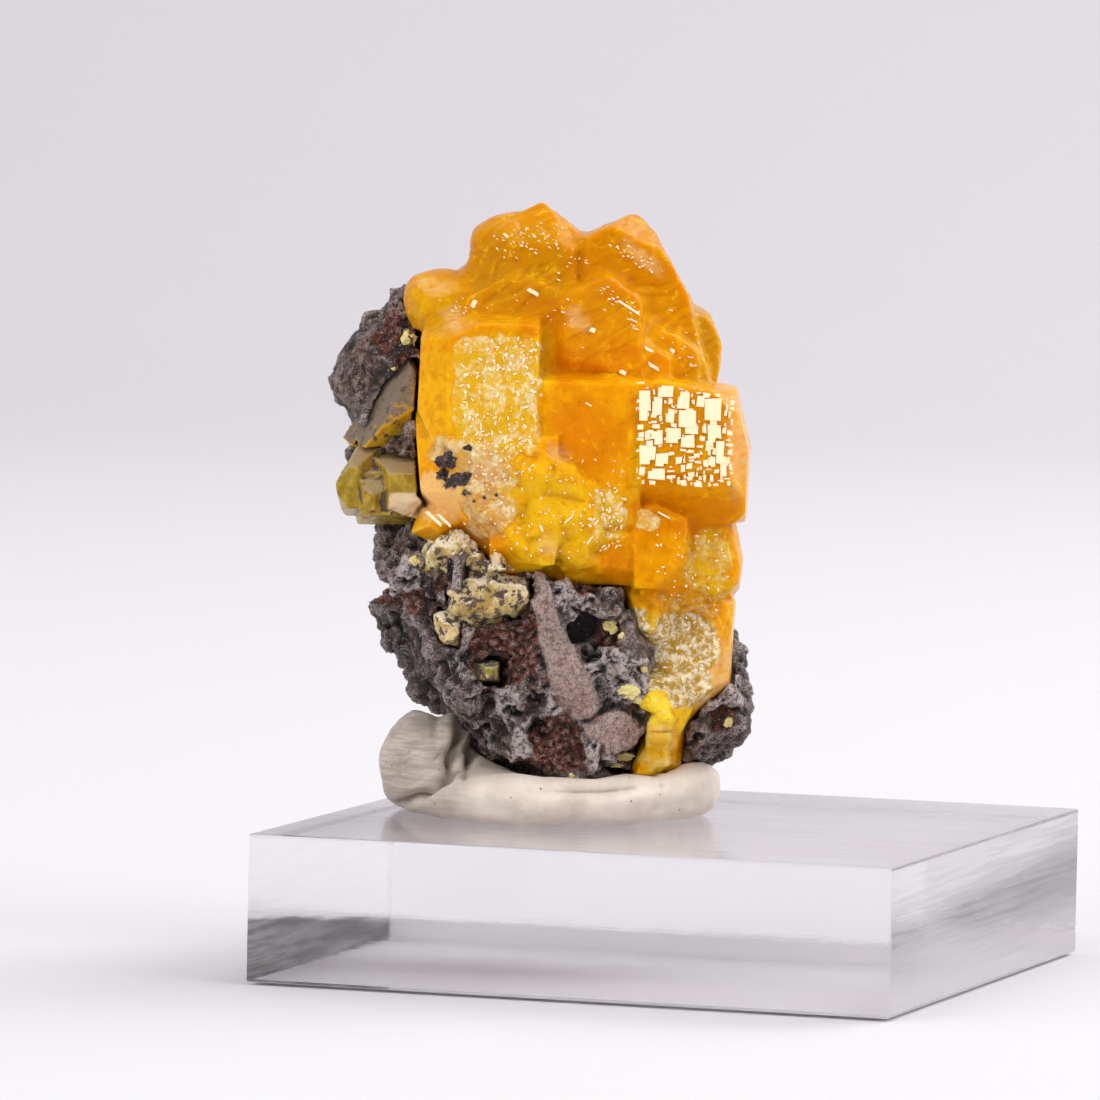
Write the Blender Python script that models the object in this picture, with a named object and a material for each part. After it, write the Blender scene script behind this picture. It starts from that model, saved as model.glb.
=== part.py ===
"""Mimetite crystals on a dark iron-rich rock, pressed into putty on a clear acrylic display block.

The block stands on the floor with the origin at the middle of its underside. The specimen has a frame of
its own, in millimetres: x to the right and y to the back as it is shown, z up from the block's top face,
with its origin on the putty's axis.
"""

import math

import bmesh
import bpy
from mathutils import Vector, noise

MM = 0.001

# The display block: a sawn square of acrylic sheet.
BLOCK_SIDE = 45.0
BLOCK_HEIGHT = 10.0
BLOCK_EDGE = 0.25

# Where the specimen stands on the block, and how far it is turned from the block's front edge.
SPECIMEN_AXIS = Vector((-9.0, 1.0, BLOCK_HEIGHT))
SPECIMEN_TURN = 18.35

# Pieces that touch keep this gap, and a piece is cut back from its neighbour by it.
GAP = 0.3

# Points closer than this are welded after a cut.
WELD = 0.006

# Rock: the grain of its skin, how far its knobs and ledges stand out, their spacing, and its triangles.
ROCK_GRAIN = 0.55
ROCK_RELIEF = 0.55
ROCK_KNOB_SPACING = 2.4
ROCK_LEDGE_SPACING = 3.8
ROCK_TRIANGLES = 4300

# Putty: a disc pressed out under the stone, a rim that rises towards the back, and three folded rolls.
PUTTY_RADIUS = 11.5
PUTTY_DEPTH_SHARE = 0.9
PUTTY_DISC_HEIGHT = 1.3
PUTTY_DISC_THICKNESS = 2.3
PUTTY_RIM_RADIUS = 9.3
PUTTY_RIM_WIDTH = 2.3
PUTTY_RIM_LOW = 1.5
PUTTY_RIM_THICKNESS = 1.45
PUTTY_RIM_RISE = 1.1
PUTTY_RIM_SWELL = 0.25
PUTTY_RIM_STEPS = 30
PUTTY_GRAIN = 0.6
PUTTY_TRIANGLES = 1500

# The stone's print in the putty: how far it stands off the stone, its grain and its triangles.
PRINT_CLEARANCE = 0.75
PRINT_GRAIN = 0.7
PRINT_TRIANGLES = 1500

# Each roll of putty: where it starts and ends, and its half-lengths in x, y and z there.
PUTTY_ROLLS = {
    "left_roll": ((-9.1, -3.0, 3.3), (-8.5, 2.4, 4.2), (2.8, 2.3, 3.1), (2.5, 2.3, 2.75)),
    "back_roll": ((-8.0, 2.6, 4.3), (1.0, 7.0, 3.1), (2.7, 2.6, 2.9), (2.7, 2.6, 2.3)),
    "small_fold": ((-6.2, -3.6, 2.2), (-4.9, -1.2, 3.1), (1.0, 1.5, 2.0), (1.0, 1.5, 1.7)),
}
ROLL_STEPS = 8

# Crystals of the main group, from the top down: a centre and the faces about it.
# Each face is (way round, way up, distance from the centre), in degrees and millimetres.
MAIN_CRYSTALS = {
    "crown_left": (
        (-1.5, 1.5, 36.5),
        [
            (-90, 65, 4.75), (90, 52, 4.25), (0, 55, 4.5), (180, 50, 4.0), (-48, 60, 4.75), (45, 50, 4.5),
            (-90, 45, 5.25), (-90, 12, 5.0), (-45, 14, 4.75), (0, 14, 4.5), (55, 10, 4.5), (100, 0, 4.5),
            (180, 8, 4.5), (-140, 12, 4.5), (0, -90, 6.0),
        ],
    ),
    "crown_right": (
        (4.5, 0.5, 36.0),
        [
            (-90, 65, 4.5), (90, 45, 4.0), (54, 58, 4.0), (10, 14, 3.25), (90, 30, 3.5), (88, 16, 4.0),
            (-70, 5, 4.0), (180, 12, 4.0), (180, 50, 5.0), (130, 25, 4.0), (0, -90, 6.0),
        ],
    ),
    "shoulder_right": (
        (7.5, 4.5, 31.0),
        [
            (90, 0, 3.5), (90, 24, 3.75), (85, 62, 4.0), (25, 12, 4.25), (180, 0, 3.5), (135, 18, 4.0),
            (90, -12, 3.5), (0, -90, 6.0), (-90, 0, 5.0),
        ],
    ),
    "shoulder_left": (
        (-8.5, 0.5, 34.5),
        [
            (0, 86, 2.5), (-90, 52, 3.25), (-90, -15, 2.25), (-10, 15, 2.5), (5, 50, 2.75), (-80, -42, 1.25),
            (0, -90, 3.75), (90, 0, 4.0), (180, 10, 3.5), (-60, 28, 2.75), (90, 72, 3.5),
        ],
    ),
    "upper_left": (
        (-1.5, -1.5, 32.5),
        [
            (-8, 10, 3.25), (-85, 60, 5.0), (75, 62, 4.0), (-90, 8, 5.25), (90, 0, 4.0), (0, -90, 4.0),
            (180, 0, 4.0), (-4, 50, 4.75),
        ],
    ),
    "upper_middle": (
        (3.0, -2.5, 33.0),
        [
            (-4, 7, 3.75), (-85, 66, 4.0), (-85, 30, 4.0), (-80, 0, 3.5), (85, 57, 3.75), (86, 0, 2.75),
            (-20, -55, 3.75), (0, -90, 3.5), (180, 0, 4.0), (0, 52, 5.0),
        ],
    ),
    "upper_right": (
        (6.75, -1.25, 32.0),
        [
            (14, 8, 3.25), (80, 58, 1.75), (88, 4, 2.75), (85, 36, 2.5), (-90, 0, 4.0), (0, -90, 3.0),
            (180, 0, 4.0), (15, 50, 3.0),
        ],
    ),
    "upper_step": (
        (6.25, -3.0, 31.25),
        [
            (10, 6, 3.0), (80, 60, 1.25), (86, 0, 1.5), (-90, 0, 1.0), (0, -90, 2.5), (180, 0, 4.0),
            (8, 48, 2.5),
        ],
    ),
    "left_cube": (
        (-4.75, -4.0, 30.25),
        [
            (-4, 5, 4.25), (-50, 2, 4.75), (-90, 2, 4.75), (-20, 84, 4.0), (88, 0, 3.5), (-85, -24, 5.5),
            (0, -90, 4.75), (180, 0, 5.25), (-55, 60, 4.5), (60, 70, 5.0),
        ],
    ),
    "middle_block": (
        (2.5, -4.5, 26.5),
        [
            (-2, 2, 4.0), (26, -2, 4.75), (88, 0, 3.25), (-90, 0, 3.75), (0, 84, 4.0), (10, -50, 7.25),
            (0, -90, 6.5), (180, 0, 5.0),
        ],
    ),
    "right_block": (
        (9.0, -5.0, 26.0),
        [
            (-8, 3, 4.5), (60, 2, 4.5), (88, -2, 4.0), (88, 14, 3.75), (-4, -46, 4.5), (0, -90, 5.5),
            (70, -50, 6.25), (88, 80, 4.0), (-85, 70, 5.0), (5, 48, 5.75), (-90, 0, 3.5), (180, 0, 5.0),
            (72, 44, 4.5),
        ],
    ),
    "lower_left": (
        (-5.0, -4.5, 22.5),
        [
            (-8, 6, 4.5), (-46, 3, 4.25), (-90, -6, 4.25), (-78, -46, 3.25), (-45, -35, 3.5), (0, -90, 4.75),
            (-30, 72, 4.25), (90, 0, 5.0), (180, 0, 4.75), (-62, -50, 3.75),
        ],
    ),
    "lower_middle": (
        (-0.5, -5.0, 21.5),
        [
            (6, -2, 5.0), (-24, 2, 5.0), (70, 52, 4.0), (40, 10, 5.25), (85, 0, 3.75), (-6, -42, 5.0),
            (0, -70, 5.0), (-90, 0, 4.0), (180, 0, 5.0), (-10, 60, 6.0), (45, -40, 5.5),
        ],
    ),
    "under_middle": (
        (3.75, -4.0, 19.5),
        [
            (16, -4, 4.25), (-90, 0, 3.5), (90, 0, 3.0), (0, -90, 3.25), (5, -48, 4.25), (180, 0, 4.25),
            (0, 75, 1.5),
        ],
    ),
    "under_block": (
        (6.5, -4.0, 18.75),
        [
            (10, 2, 4.0), (70, 63, 3.5), (78, 0, 3.0), (55, -38, 3.5), (-86, 0, 1.5), (0, -84, 3.0),
            (180, 0, 4.5), (60, -6, 3.75), (-30, 62, 4.25),
        ],
    ),
    "right_bulge": (
        (9.5, -2.0, 18.0),
        [
            (0, 84, 2.75), (86, 12, 3.0), (88, -6, 3.25), (80, -42, 3.5), (25, 4, 3.5), (20, -35, 4.0),
            (0, -90, 4.5), (-90, 0, 3.75), (180, 0, 5.0), (55, 8, 3.5), (130, 10, 4.25),
        ],
    ),
    "right_hollow": (
        (8.75, -1.5, 14.5),
        [
            (8, -8, 2.5), (88, -4, 3.25), (-85, 0, 3.25), (0, 88, 3.75), (0, -90, 3.0), (180, 0, 4.25),
            (50, -4, 3.25), (120, 5, 3.75),
        ],
    ),
    "small_bright": (
        (6.0, -4.5, 13.5),
        [
            (-12, 14, 2.5), (60, 0, 2.0), (-75, -10, 1.0), (0, 76, 2.5), (20, -55, 1.75), (-50, -50, 1.25),
            (180, 0, 3.0),
        ],
    ),
    "frosted_plate": (
        (9.0, -3.25, 10.5),
        [
            (-6, 22, 2.5), (60, 4, 3.0), (86, -2, 3.0), (70, -44, 2.75), (-88, -6, 2.5), (-50, -36, 2.25),
            (20, -42, 3.75), (0, -90, 4.0), (180, -6, 2.5), (0, 90, 4.5), (-40, 60, 3.5),
        ],
    ),
    "vein_top": (
        (7.25, -4.75, 8.5),
        [
            (-10, 14, 2.75), (44, 4, 2.5), (78, -36, 2.0), (-84, 6, 1.25), (0, -80, 1.75), (0, 78, 2.0),
            (180, 0, 2.5), (-70, -40, 1.5),
        ],
    ),
    "vein_middle": (
        (6.75, -4.75, 6.0),
        [
            (-6, -8, 2.5), (50, -14, 2.25), (84, -26, 1.75), (-84, 14, 0.5), (0, -88, 1.0), (0, 88, 2.25),
            (180, 0, 2.0),
        ],
    ),
    "vein_foot": (
        (6.5, -4.5, 4.0),
        [
            (4, -22, 2.5), (76, -8, 1.75), (60, -58, 1.0), (-50, -62, 1.5), (0, -88, 1.0), (0, 88, 2.25),
            (180, 0, 2.5), (-86, 16, 0.75),
        ],
    ),
    "tabular_step": (
        (-7.75, -6.0, 20.0),
        [
            (-14, -10, 1.5), (-75, 20, 1.25), (40, 50, 1.25), (30, -50, 0.75), (-50, -60, 0.75),
            (0, 86, 1.0), (180, 0, 2.25), (90, 10, 1.0),
        ],
    ),
}

# The small pale crystals at the far left, grown on a ledge of the rock.
LEFT_CRYSTALS = {
    "white_ended": (
        (-9.5, -2.5, 21.5),
        [
            (-6, 8, 2.5), (4, -34, 2.0), (8, 80, 2.25), (-74, 2, 2.5), (80, -4, 0.75), (-85, -70, 1.25),
            (180, 0, 3.5),
        ],
    ),
    "pale_edge": (
        (-12.25, -2.0, 21.5),
        [
            (-30, 4, 2.25), (50, 2, 1.5), (-80, -10, 1.25), (0, 80, 1.5), (0, -75, 1.25), (-60, -50, 1.5),
            (180, 0, 2.75), (10, 50, 1.75),
        ],
    ),
    "pale_knob": (
        (-13.75, -1.0, 22.25),
        [
            (-20, 12, 2.0), (-90, 30, 1.25), (-90, -8, 1.25), (-80, -36, 1.5), (0, 72, 2.0), (0, -80, 1.75),
            (60, 20, 1.5), (180, 0, 2.75), (-60, 45, 1.75),
        ],
    ),
    "pale_chip": (
        (-11.75, -1.25, 22.5),
        [
            (-10, 30, 1.5), (-90, 10, 1.25), (90, 0, 0.5), (0, 80, 1.0), (0, -90, 2.0), (180, 0, 2.25),
        ],
    ),
}

# A blade of crystal that leans between the left lump of rock and the main group.
BLADE_CRYSTALS = {
    "blade": (
        (-10.5, 0.5, 26.75),
        [
            (-60, 28, 1.75), (25, -35, 1.0), (80, 40, 2.75), (-90, -58, 3.5), (120, -25, 1.5),
            (180, 10, 1.75), (90, -10, 0.5), (-10, 15, 1.75),
        ],
    ),
}

# A thin pale crust that spreads down the front of the rock, as overlapping low plates.
CRUST_CRYSTALS = {
    "crust_top": (
        (-6.25, -6.0, 17.5),
        [
            (-20, 22, 2.5), (-60, 40, 2.5), (45, 44, 2.25), (-30, -45, 1.25), (20, -30, 2.75), (85, 0, 2.75),
            (180, 0, 2.0), (-85, 0, 2.5), (0, -85, 1.25),
        ],
    ),
    "crust_middle": (
        (-4.25, -7.0, 14.75),
        [
            (-12, 6, 2.0), (-84, -4, 2.75), (30, -52, 1.0), (-50, -50, 2.0), (40, 40, 1.75), (180, 0, 1.5),
            (0, 84, 2.0), (90, 0, 1.0),
        ],
    ),
    "crust_right": (
        (-3.25, -7.5, 15.25),
        [
            (2, 6, 1.75), (88, 8, 1.5), (-88, 0, 1.5), (0, -84, 1.0), (180, 0, 1.25), (10, 72, 1.5),
            (60, -50, 1.25),
        ],
    ),
    "crust_foot": (
        (-6.75, -6.5, 13.0),
        [
            (-22, 2, 2.0), (-86, -12, 1.0), (70, -20, 0.75), (0, -78, 1.0), (180, 0, 1.5), (0, 84, 1.0),
            (50, 40, 1.0),
        ],
    ),
    "bright_tip": (
        (-3.75, -8.5, 18.0),
        [
            (-75, 16, 0.75), (75, 26, 0.5), (-12, 20, 1.0), (180, 10, 1.25), (0, -85, 0.75), (0, 70, 0.75),
            (40, 30, 0.75),
        ],
    ),
}

# One tiny crystal in a pocket of the rock, low on the front.
POCKET_CRYSTALS = {
    "pocket": (
        (-4.25, -8.0, 10.25),
        [
            (-28, 6, 1.0), (50, 4, 0.75), (-60, -4, 0.75), (-5, 80, 0.5), (-5, -80, 0.5), (150, 0, 1.25),
            (85, 0, 0.5),
        ],
    ),
}

# The rock: angular lumps that run into each other, given in the same way as the crystals.
ROCK_LUMPS = {
    "main": (
        (-1.0, -1.0, 10.0),
        [
            (62, 28, 9.5), (-70, -62, 7.0), (-30, -72, 8.0), (-2, -6, 7.25), (-44, -4, 8.75),
            (-88, -30, 6.0), (-85, 30, 12.5), (-56, -50, 7.25), (0, -82, 8.25), (0, -48, 9.5),
            (42, -12, 9.5), (80, -4, 8.5), (72, -40, 9.25), (-26, 60, 11.75), (12, 66, 9.25),
            (180, 0, 8.0), (150, -35, 9.0), (-140, -30, 8.25),
        ],
    ),
    "right_knob": (
        (9.5, 0.0, 8.5),
        [
            (88, 22, 4.0), (88, -14, 4.0), (62, -56, 4.25), (14, -2, 4.25), (20, -50, 4.75), (60, 62, 3.25),
            (0, -84, 6.0), (180, -6, 6.0), (-90, 0, 6.0), (130, 0, 5.0), (50, 10, 4.25),
        ],
    ),
    "high_left": (
        (-12.25, 3.5, 30.0),
        [
            (-90, 40, 2.75), (-90, 0, 3.5), (-88, -52, 3.75), (-24, 6, 2.5), (60, 62, 5.25), (90, 0, 4.5),
            (180, 0, 4.5), (-140, 8, 4.25), (-10, -60, 4.25), (-60, 30, 3.0),
        ],
    ),
    "left_neck": (
        (-11.75, 3.0, 23.5),
        [
            (-90, 12, 2.5), (-88, -20, 2.75), (-26, 2, 3.5), (-80, -64, 3.5), (0, 84, 3.0), (90, 0, 6.0),
            (180, 0, 4.5), (-140, 0, 4.25), (10, -50, 4.5),
        ],
    ),
    "heart": (
        (-1.0, 3.5, 25.0),
        [
            (0, 0, 5.5), (-88, 4, 9.5), (88, 6, 9.0), (0, 84, 10.5), (180, 6, 6.5), (150, 30, 8.5),
            (-150, 26, 8.5), (-60, 30, 9.5), (130, -10, 8.25), (-130, -12, 8.5), (0, -90, 11.0),
        ],
    ),
    "low_left_back": (
        (-8.5, 6.0, 11.5),
        [
            (-86, 60, 4.5), (-90, 12, 4.75), (-90, -32, 2.75), (-36, 0, 4.0), (0, 80, 3.5), (180, 8, 4.25),
            (-140, 0, 4.25), (90, 0, 8.0), (0, -84, 5.25),
        ],
    ),
    "left_ledge": (
        (-9.5, -0.5, 16.5),
        [
            (-90, 16, 3.0), (-88, -40, 1.75), (-30, -6, 3.5), (-60, 55, 2.75), (0, 80, 2.25), (90, 0, 5.0),
            (180, 0, 5.0), (0, -80, 4.0),
        ],
    ),
    "right_back": (
        (6.0, 5.25, 16.0),
        [
            (80, 10, 5.5), (100, -20, 5.5), (0, 0, 6.0), (180, 5, 5.25), (0, 85, 7.0), (0, -85, 8.0),
            (-90, 0, 6.0), (140, 12, 5.5),
        ],
    ),
    "low_bridge": (
        (-6.0, 2.5, 7.0),
        [
            (-88, -36, 1.25), (0, -76, 3.25), (-40, -16, 3.0), (90, 0, 4.0), (180, 0, 4.0), (0, 85, 4.0),
        ],
    ),
}

# Hollows in the rock: centre and half-lengths of each ellipsoid that is taken out of it.
ROCK_HOLLOWS = {
    "left_vug": ((-3.5, -9.5, 12.0), (2.5, 1.25, 2.25)),
    "low_vug": ((-5.5, -6.75, 6.0), (2.5, 2.5, 2.0)),
    "middle_vug": ((3.5, -8.5, 13.25), (2.0, 1.25, 1.0)),
    "foot_slot": ((5.0, -6.5, 4.5), (1.75, 1.25, 0.75)),
    "ledge_gap": ((-9.5, -4.5, 19.25), (2.5, 2.0, 1.25)),
    "lump_slot": ((-14.75, 1.5, 26.25), (1.5, 3.0, 0.75)),
    "back_hollow": ((2.0, 10.0, 20.0), (3.5, 1.75, 3.0)),
    "back_high": ((-6.0, 10.25, 26.0), (2.5, 1.5, 2.25)),
    "back_right": ((8.0, 9.5, 11.0), (2.25, 1.5, 1.5)),
}


def start_clean():
    """Empties the scene of objects."""
    for thing in list(bpy.data.objects):
        bpy.data.objects.remove(thing)


def material(name, colour, roughness, metallic=0.0, transmission=0.0):
    """A plain Principled finish in the piece's own colour."""
    finish = bpy.data.materials.new(name)
    finish.use_nodes = True
    shader = finish.node_tree.nodes["Principled BSDF"]
    shader.inputs["Base Color"].default_value = (*colour, 1.0)
    shader.inputs["Roughness"].default_value = roughness
    shader.inputs["Metallic"].default_value = metallic
    shader.inputs["Transmission Weight"].default_value = transmission
    finish.diffuse_color = (*colour, 1.0)
    return finish


def specimen_frame():
    """The empty that carries the putty, the rock and every crystal, turned on the block."""
    frame = bpy.data.objects.new("specimen_frame", None)
    bpy.context.scene.collection.objects.link(frame)
    frame.location = SPECIMEN_AXIS * MM
    frame.rotation_euler.z = math.radians(SPECIMEN_TURN)
    return frame


def object_from(bm, name, finish=None, parent=None):
    """A new object from a bmesh in millimetres."""
    bmesh.ops.scale(bm, vec=(MM, MM, MM), verts=bm.verts)
    bmesh.ops.recalc_face_normals(bm, faces=bm.faces)
    mesh = bpy.data.meshes.new(name)
    bm.to_mesh(mesh)
    bm.free()
    thing = bpy.data.objects.new(name, mesh)
    bpy.context.scene.collection.objects.link(thing)
    if finish:
        mesh.materials.append(finish)
    if parent:
        thing.parent = parent
    return thing


def heading(way_round, way_up):
    """A unit vector: way_round 0 faces the viewer, 90 the right and 180 the back, in degrees."""
    turn = math.radians(way_round)
    rise = math.radians(way_up)
    return Vector((math.sin(turn) * math.cos(rise), -math.cos(turn) * math.cos(rise), math.sin(rise)))


def faceted(centre, faces, grow=0.0, reach=30.0):
    """A convex body cut from a big cube by faces, each (way round, way up, distance from the centre)."""
    bm = bmesh.new()
    bmesh.ops.create_cube(bm, size=2.0 * reach)
    for way_round, way_up, distance in faces:
        normal = heading(way_round, way_up)
        everything = bm.verts[:] + bm.edges[:] + bm.faces[:]
        cut = bmesh.ops.bisect_plane(
            bm,
            geom=everything,
            dist=1e-6,
            plane_co=normal * (distance + grow),
            plane_no=normal,
            clear_outer=True,
        )
        rim = [piece for piece in cut["geom_cut"] if isinstance(piece, bmesh.types.BMEdge)]
        if rim:
            bmesh.ops.contextual_create(bm, geom=rim)
    bmesh.ops.translate(bm, vec=Vector(centre), verts=bm.verts)
    return bm


def ellipsoid(centre, half_lengths, subdivisions=3):
    """A ball stretched to its half-lengths."""
    bm = bmesh.new()
    bmesh.ops.create_icosphere(bm, subdivisions=subdivisions, radius=1.0)
    bmesh.ops.scale(bm, vec=half_lengths, verts=bm.verts)
    bmesh.ops.translate(bm, vec=Vector(centre), verts=bm.verts)
    return bm


def keep_largest(bm):
    """Deletes every loose chip but the body with the most faces."""
    unseen = set(bm.verts)
    bodies = []
    while unseen:
        start = unseen.pop()
        body, queue = {start}, [start]
        while queue:
            for edge in queue.pop().link_edges:
                for vert in edge.verts:
                    if vert in unseen:
                        unseen.discard(vert)
                        body.add(vert)
                        queue.append(vert)
        bodies.append(body)
    largest = max(bodies, key=len)
    bmesh.ops.delete(bm, geom=[vert for vert in bm.verts if vert not in largest], context="VERTS")


def heal(bm):
    """Welds what a cut left within a few microns, and closes any small hole that leaves."""
    bmesh.ops.remove_doubles(bm, verts=bm.verts, dist=WELD * MM)
    bmesh.ops.dissolve_degenerate(bm, dist=WELD * MM, edges=bm.edges)
    rims = [edge for edge in bm.edges if len(edge.link_faces) == 1]
    if rims:
        bmesh.ops.holes_fill(bm, edges=rims, sides=0)
    bmesh.ops.triangulate(bm, faces=bm.faces)


def baked(thing, name, finish=None, parent=None):
    """A copy of an object with its modifiers applied, cleaned of slivers and stray chips."""
    bpy.context.view_layer.update()
    evaluated = thing.evaluated_get(bpy.context.evaluated_depsgraph_get())
    bm = bmesh.new()
    bm.from_mesh(evaluated.to_mesh())
    keep_largest(bm)
    heal(bm)
    bmesh.ops.scale(bm, vec=(1.0 / MM,) * 3, verts=bm.verts)
    return object_from(bm, name, finish, parent)


def solid_of(crystals, name, finish=None, parent=None, grow=0.0):
    """Crystals that have grown into each other, joined in one solid by an exact union."""
    parts = []
    for label, (centre, faces) in crystals.items():
        parts.append(object_from(faceted(centre, faces, grow), f"{name}_{label}"))
    first, others = parts[0], parts[1:]
    if others:
        group = bpy.data.collections.new(f"{name}_group")
        for part in others:
            group.objects.link(part)
        union = first.modifiers.new("union", "BOOLEAN")
        union.operation = "UNION"
        union.operand_type = "COLLECTION"
        union.collection = group
        union.solver = "EXACT"
    solid = baked(first, name, finish, parent)
    for part in parts:
        bpy.data.objects.remove(part)
    return solid


def joined(meshes, name):
    """Several bmeshes as one object whose bodies still overlap."""
    whole = bmesh.new()
    for bm in meshes:
        bmesh.ops.recalc_face_normals(bm, faces=bm.faces)
        scratch = bpy.data.meshes.new("scratch")
        bm.to_mesh(scratch)
        bm.free()
        whole.from_mesh(scratch)
        bpy.data.meshes.remove(scratch)
    return object_from(whole, name)


def remesh(thing, grain):
    """Runs overlapping bodies together into one skin of that grain."""
    skin = thing.modifiers.new("one_skin", "REMESH")
    skin.mode = "VOXEL"
    skin.voxel_size = grain * MM


def thin_to(thing, triangles):
    """Collapses a mesh to about a number of triangles."""
    bpy.context.view_layer.update()
    evaluated = thing.evaluated_get(bpy.context.evaluated_depsgraph_get())
    count = sum(len(face.vertices) - 2 for face in evaluated.to_mesh().polygons)
    collapse = thing.modifiers.new("thin", "DECIMATE")
    collapse.ratio = min(1.0, triangles / count)


def cut_by(thing, cutter, label):
    """Takes a cutter out of a piece."""
    cut = thing.modifiers.new(label, "BOOLEAN")
    cut.operation = "DIFFERENCE"
    cut.object = cutter
    cut.solver = "EXACT"


def cut_back(thing, cutters):
    """Cuts a piece back from its neighbours, one at a time, with a clean mesh after each cut."""
    for cutter in cutters:
        cutter.parent = thing.parent
        cut_by(thing, cutter, f"room_for_{cutter.name}")
        name, finish, parent = thing.name, thing.data.materials[0], thing.parent
        thing.name = "before_cut"
        clean = baked(thing, name, finish, parent)
        cutter.parent = None
        bpy.data.objects.remove(thing)
        thing = clean
        thing.name = name
    return thing


def roughened(thing, name):
    """The rock's skin broken into knobs, and into ledges that step up from the cracks between them."""
    octaves, roughness, lacunarity = 4, 0.9, 2.1
    knob_share, ledge_share, ledge_drop = 0.9, 0.9, 0.35
    rough = baked(thing, name)
    for vert in rough.data.vertices:
        place = vert.co / MM
        knobs = noise.fractal(place / ROCK_KNOB_SPACING, roughness, lacunarity, octaves)
        nearest, second = noise.voronoi(place / ROCK_LEDGE_SPACING)[0][:2]
        ledges = ledge_share * (second - nearest) - ledge_drop
        vert.co += vert.normal * ROCK_RELIEF * MM * (knob_share * knobs + ledges)
    return rough


def build_rock(parent, finish, cutters):
    """The rock, with its hollows, roughened, thinned and cut back from every crystal on it."""
    lumps = joined([faceted(centre, faces) for centre, faces in ROCK_LUMPS.values()], "rock_lumps")
    remesh(lumps, ROCK_GRAIN)
    hollows = []
    for name, (centre, half_lengths) in ROCK_HOLLOWS.items():
        hollow = object_from(ellipsoid(centre, half_lengths), f"rock_{name}")
        cut_by(lumps, hollow, name)
        hollows.append(hollow)
    remesh(lumps, ROCK_GRAIN)
    rough = roughened(lumps, "rock_rough")
    remesh(rough, ROCK_GRAIN)
    thin_to(rough, ROCK_TRIANGLES)
    rock = baked(rough, "matrix_rock", finish, parent)
    for thing in [lumps, rough] + hollows:
        bpy.data.objects.remove(thing)
    return cut_back(rock, cutters)


def putty_rim():
    """The disc's rim, a ring of balls that rises and thickens towards the back."""
    rise_starts, swell_starts = 0.75, 0.6
    swells = 3
    balls = []
    for step in range(PUTTY_RIM_STEPS):
        angle = step * math.tau / PUTTY_RIM_STEPS
        rise = 0.5 + 0.5 * math.sin(angle + rise_starts)
        swell = PUTTY_RIM_SWELL * math.sin(swells * angle + swell_starts)
        place = Vector((math.cos(angle), PUTTY_DEPTH_SHARE * math.sin(angle), 0.0)) * PUTTY_RIM_RADIUS
        place.z = PUTTY_RIM_LOW + PUTTY_RIM_RISE * rise
        thickness = PUTTY_RIM_THICKNESS + 0.75 * PUTTY_RIM_RISE * rise + swell
        balls.append(ellipsoid(place, (PUTTY_RIM_WIDTH, PUTTY_RIM_WIDTH, thickness), 2))
    return balls


def putty_roll(start, end, start_half, end_half):
    """A roll of putty, a row of balls whose size changes from one end to the other."""
    balls = []
    for step in range(ROLL_STEPS):
        share = step / (ROLL_STEPS - 1)
        place = Vector(start).lerp(Vector(end), share)
        balls.append(ellipsoid(place, Vector(start_half).lerp(Vector(end_half), share)))
    return balls


def stone_print(rock):
    """The hollow that the stone leaves in the putty: the stone's shape, a little larger and smoother."""
    envelope = baked(rock, "rock_envelope")
    swollen = envelope.modifiers.new("swell", "DISPLACE")
    swollen.mid_level = 0.0
    swollen.strength = PRINT_CLEARANCE * MM
    remesh(envelope, PRINT_GRAIN)
    thin_to(envelope, PRINT_TRIANGLES)
    hollow = baked(envelope, "stone_print")
    bpy.data.objects.remove(envelope)
    return hollow


def block_room():
    """The space of the block and everything below it, up to the gap under the putty."""
    reach = 60.0
    bm = bmesh.new()
    bmesh.ops.create_cube(bm, size=reach)
    bmesh.ops.translate(bm, vec=(0.0, 0.0, GAP - reach / 2.0), verts=bm.verts)
    return object_from(bm, "block_room")


def build_putty(parent, finish, rock, cutters):
    """The putty: a low disc, its raised rim and the folded rolls, pressed on the block and round the stone."""
    smoothing_rounds = 3
    disc_half = (PUTTY_RADIUS, PUTTY_DEPTH_SHARE * PUTTY_RADIUS, PUTTY_DISC_THICKNESS)
    balls = [ellipsoid((0.0, 0.0, PUTTY_DISC_HEIGHT), disc_half, 4)] + putty_rim()
    for roll in PUTTY_ROLLS.values():
        balls += putty_roll(*roll)
    blob = joined(balls, "putty_blob")
    remesh(blob, PUTTY_GRAIN)
    soften = blob.modifiers.new("soften", "SMOOTH")
    soften.iterations = smoothing_rounds
    thin_to(blob, PUTTY_TRIANGLES)
    room, hollow = block_room(), stone_print(rock)
    putty = cut_back(baked(blob, "putty", finish, parent), [room, hollow] + cutters)
    for thing in (blob, room, hollow):
        bpy.data.objects.remove(thing)
    return putty


def build_block(finish):
    """The acrylic block, with the small chamfer of a sawn and polished edge."""
    bm = bmesh.new()
    bmesh.ops.create_cube(bm, size=1.0)
    bmesh.ops.scale(bm, vec=(BLOCK_SIDE, BLOCK_SIDE, BLOCK_HEIGHT), verts=bm.verts)
    bmesh.ops.translate(bm, vec=(0.0, 0.0, BLOCK_HEIGHT / 2.0), verts=bm.verts)
    bmesh.ops.bevel(bm, geom=bm.edges[:], offset=BLOCK_EDGE, segments=1, affect="EDGES")
    return object_from(bm, "acrylic_block", finish)


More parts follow.
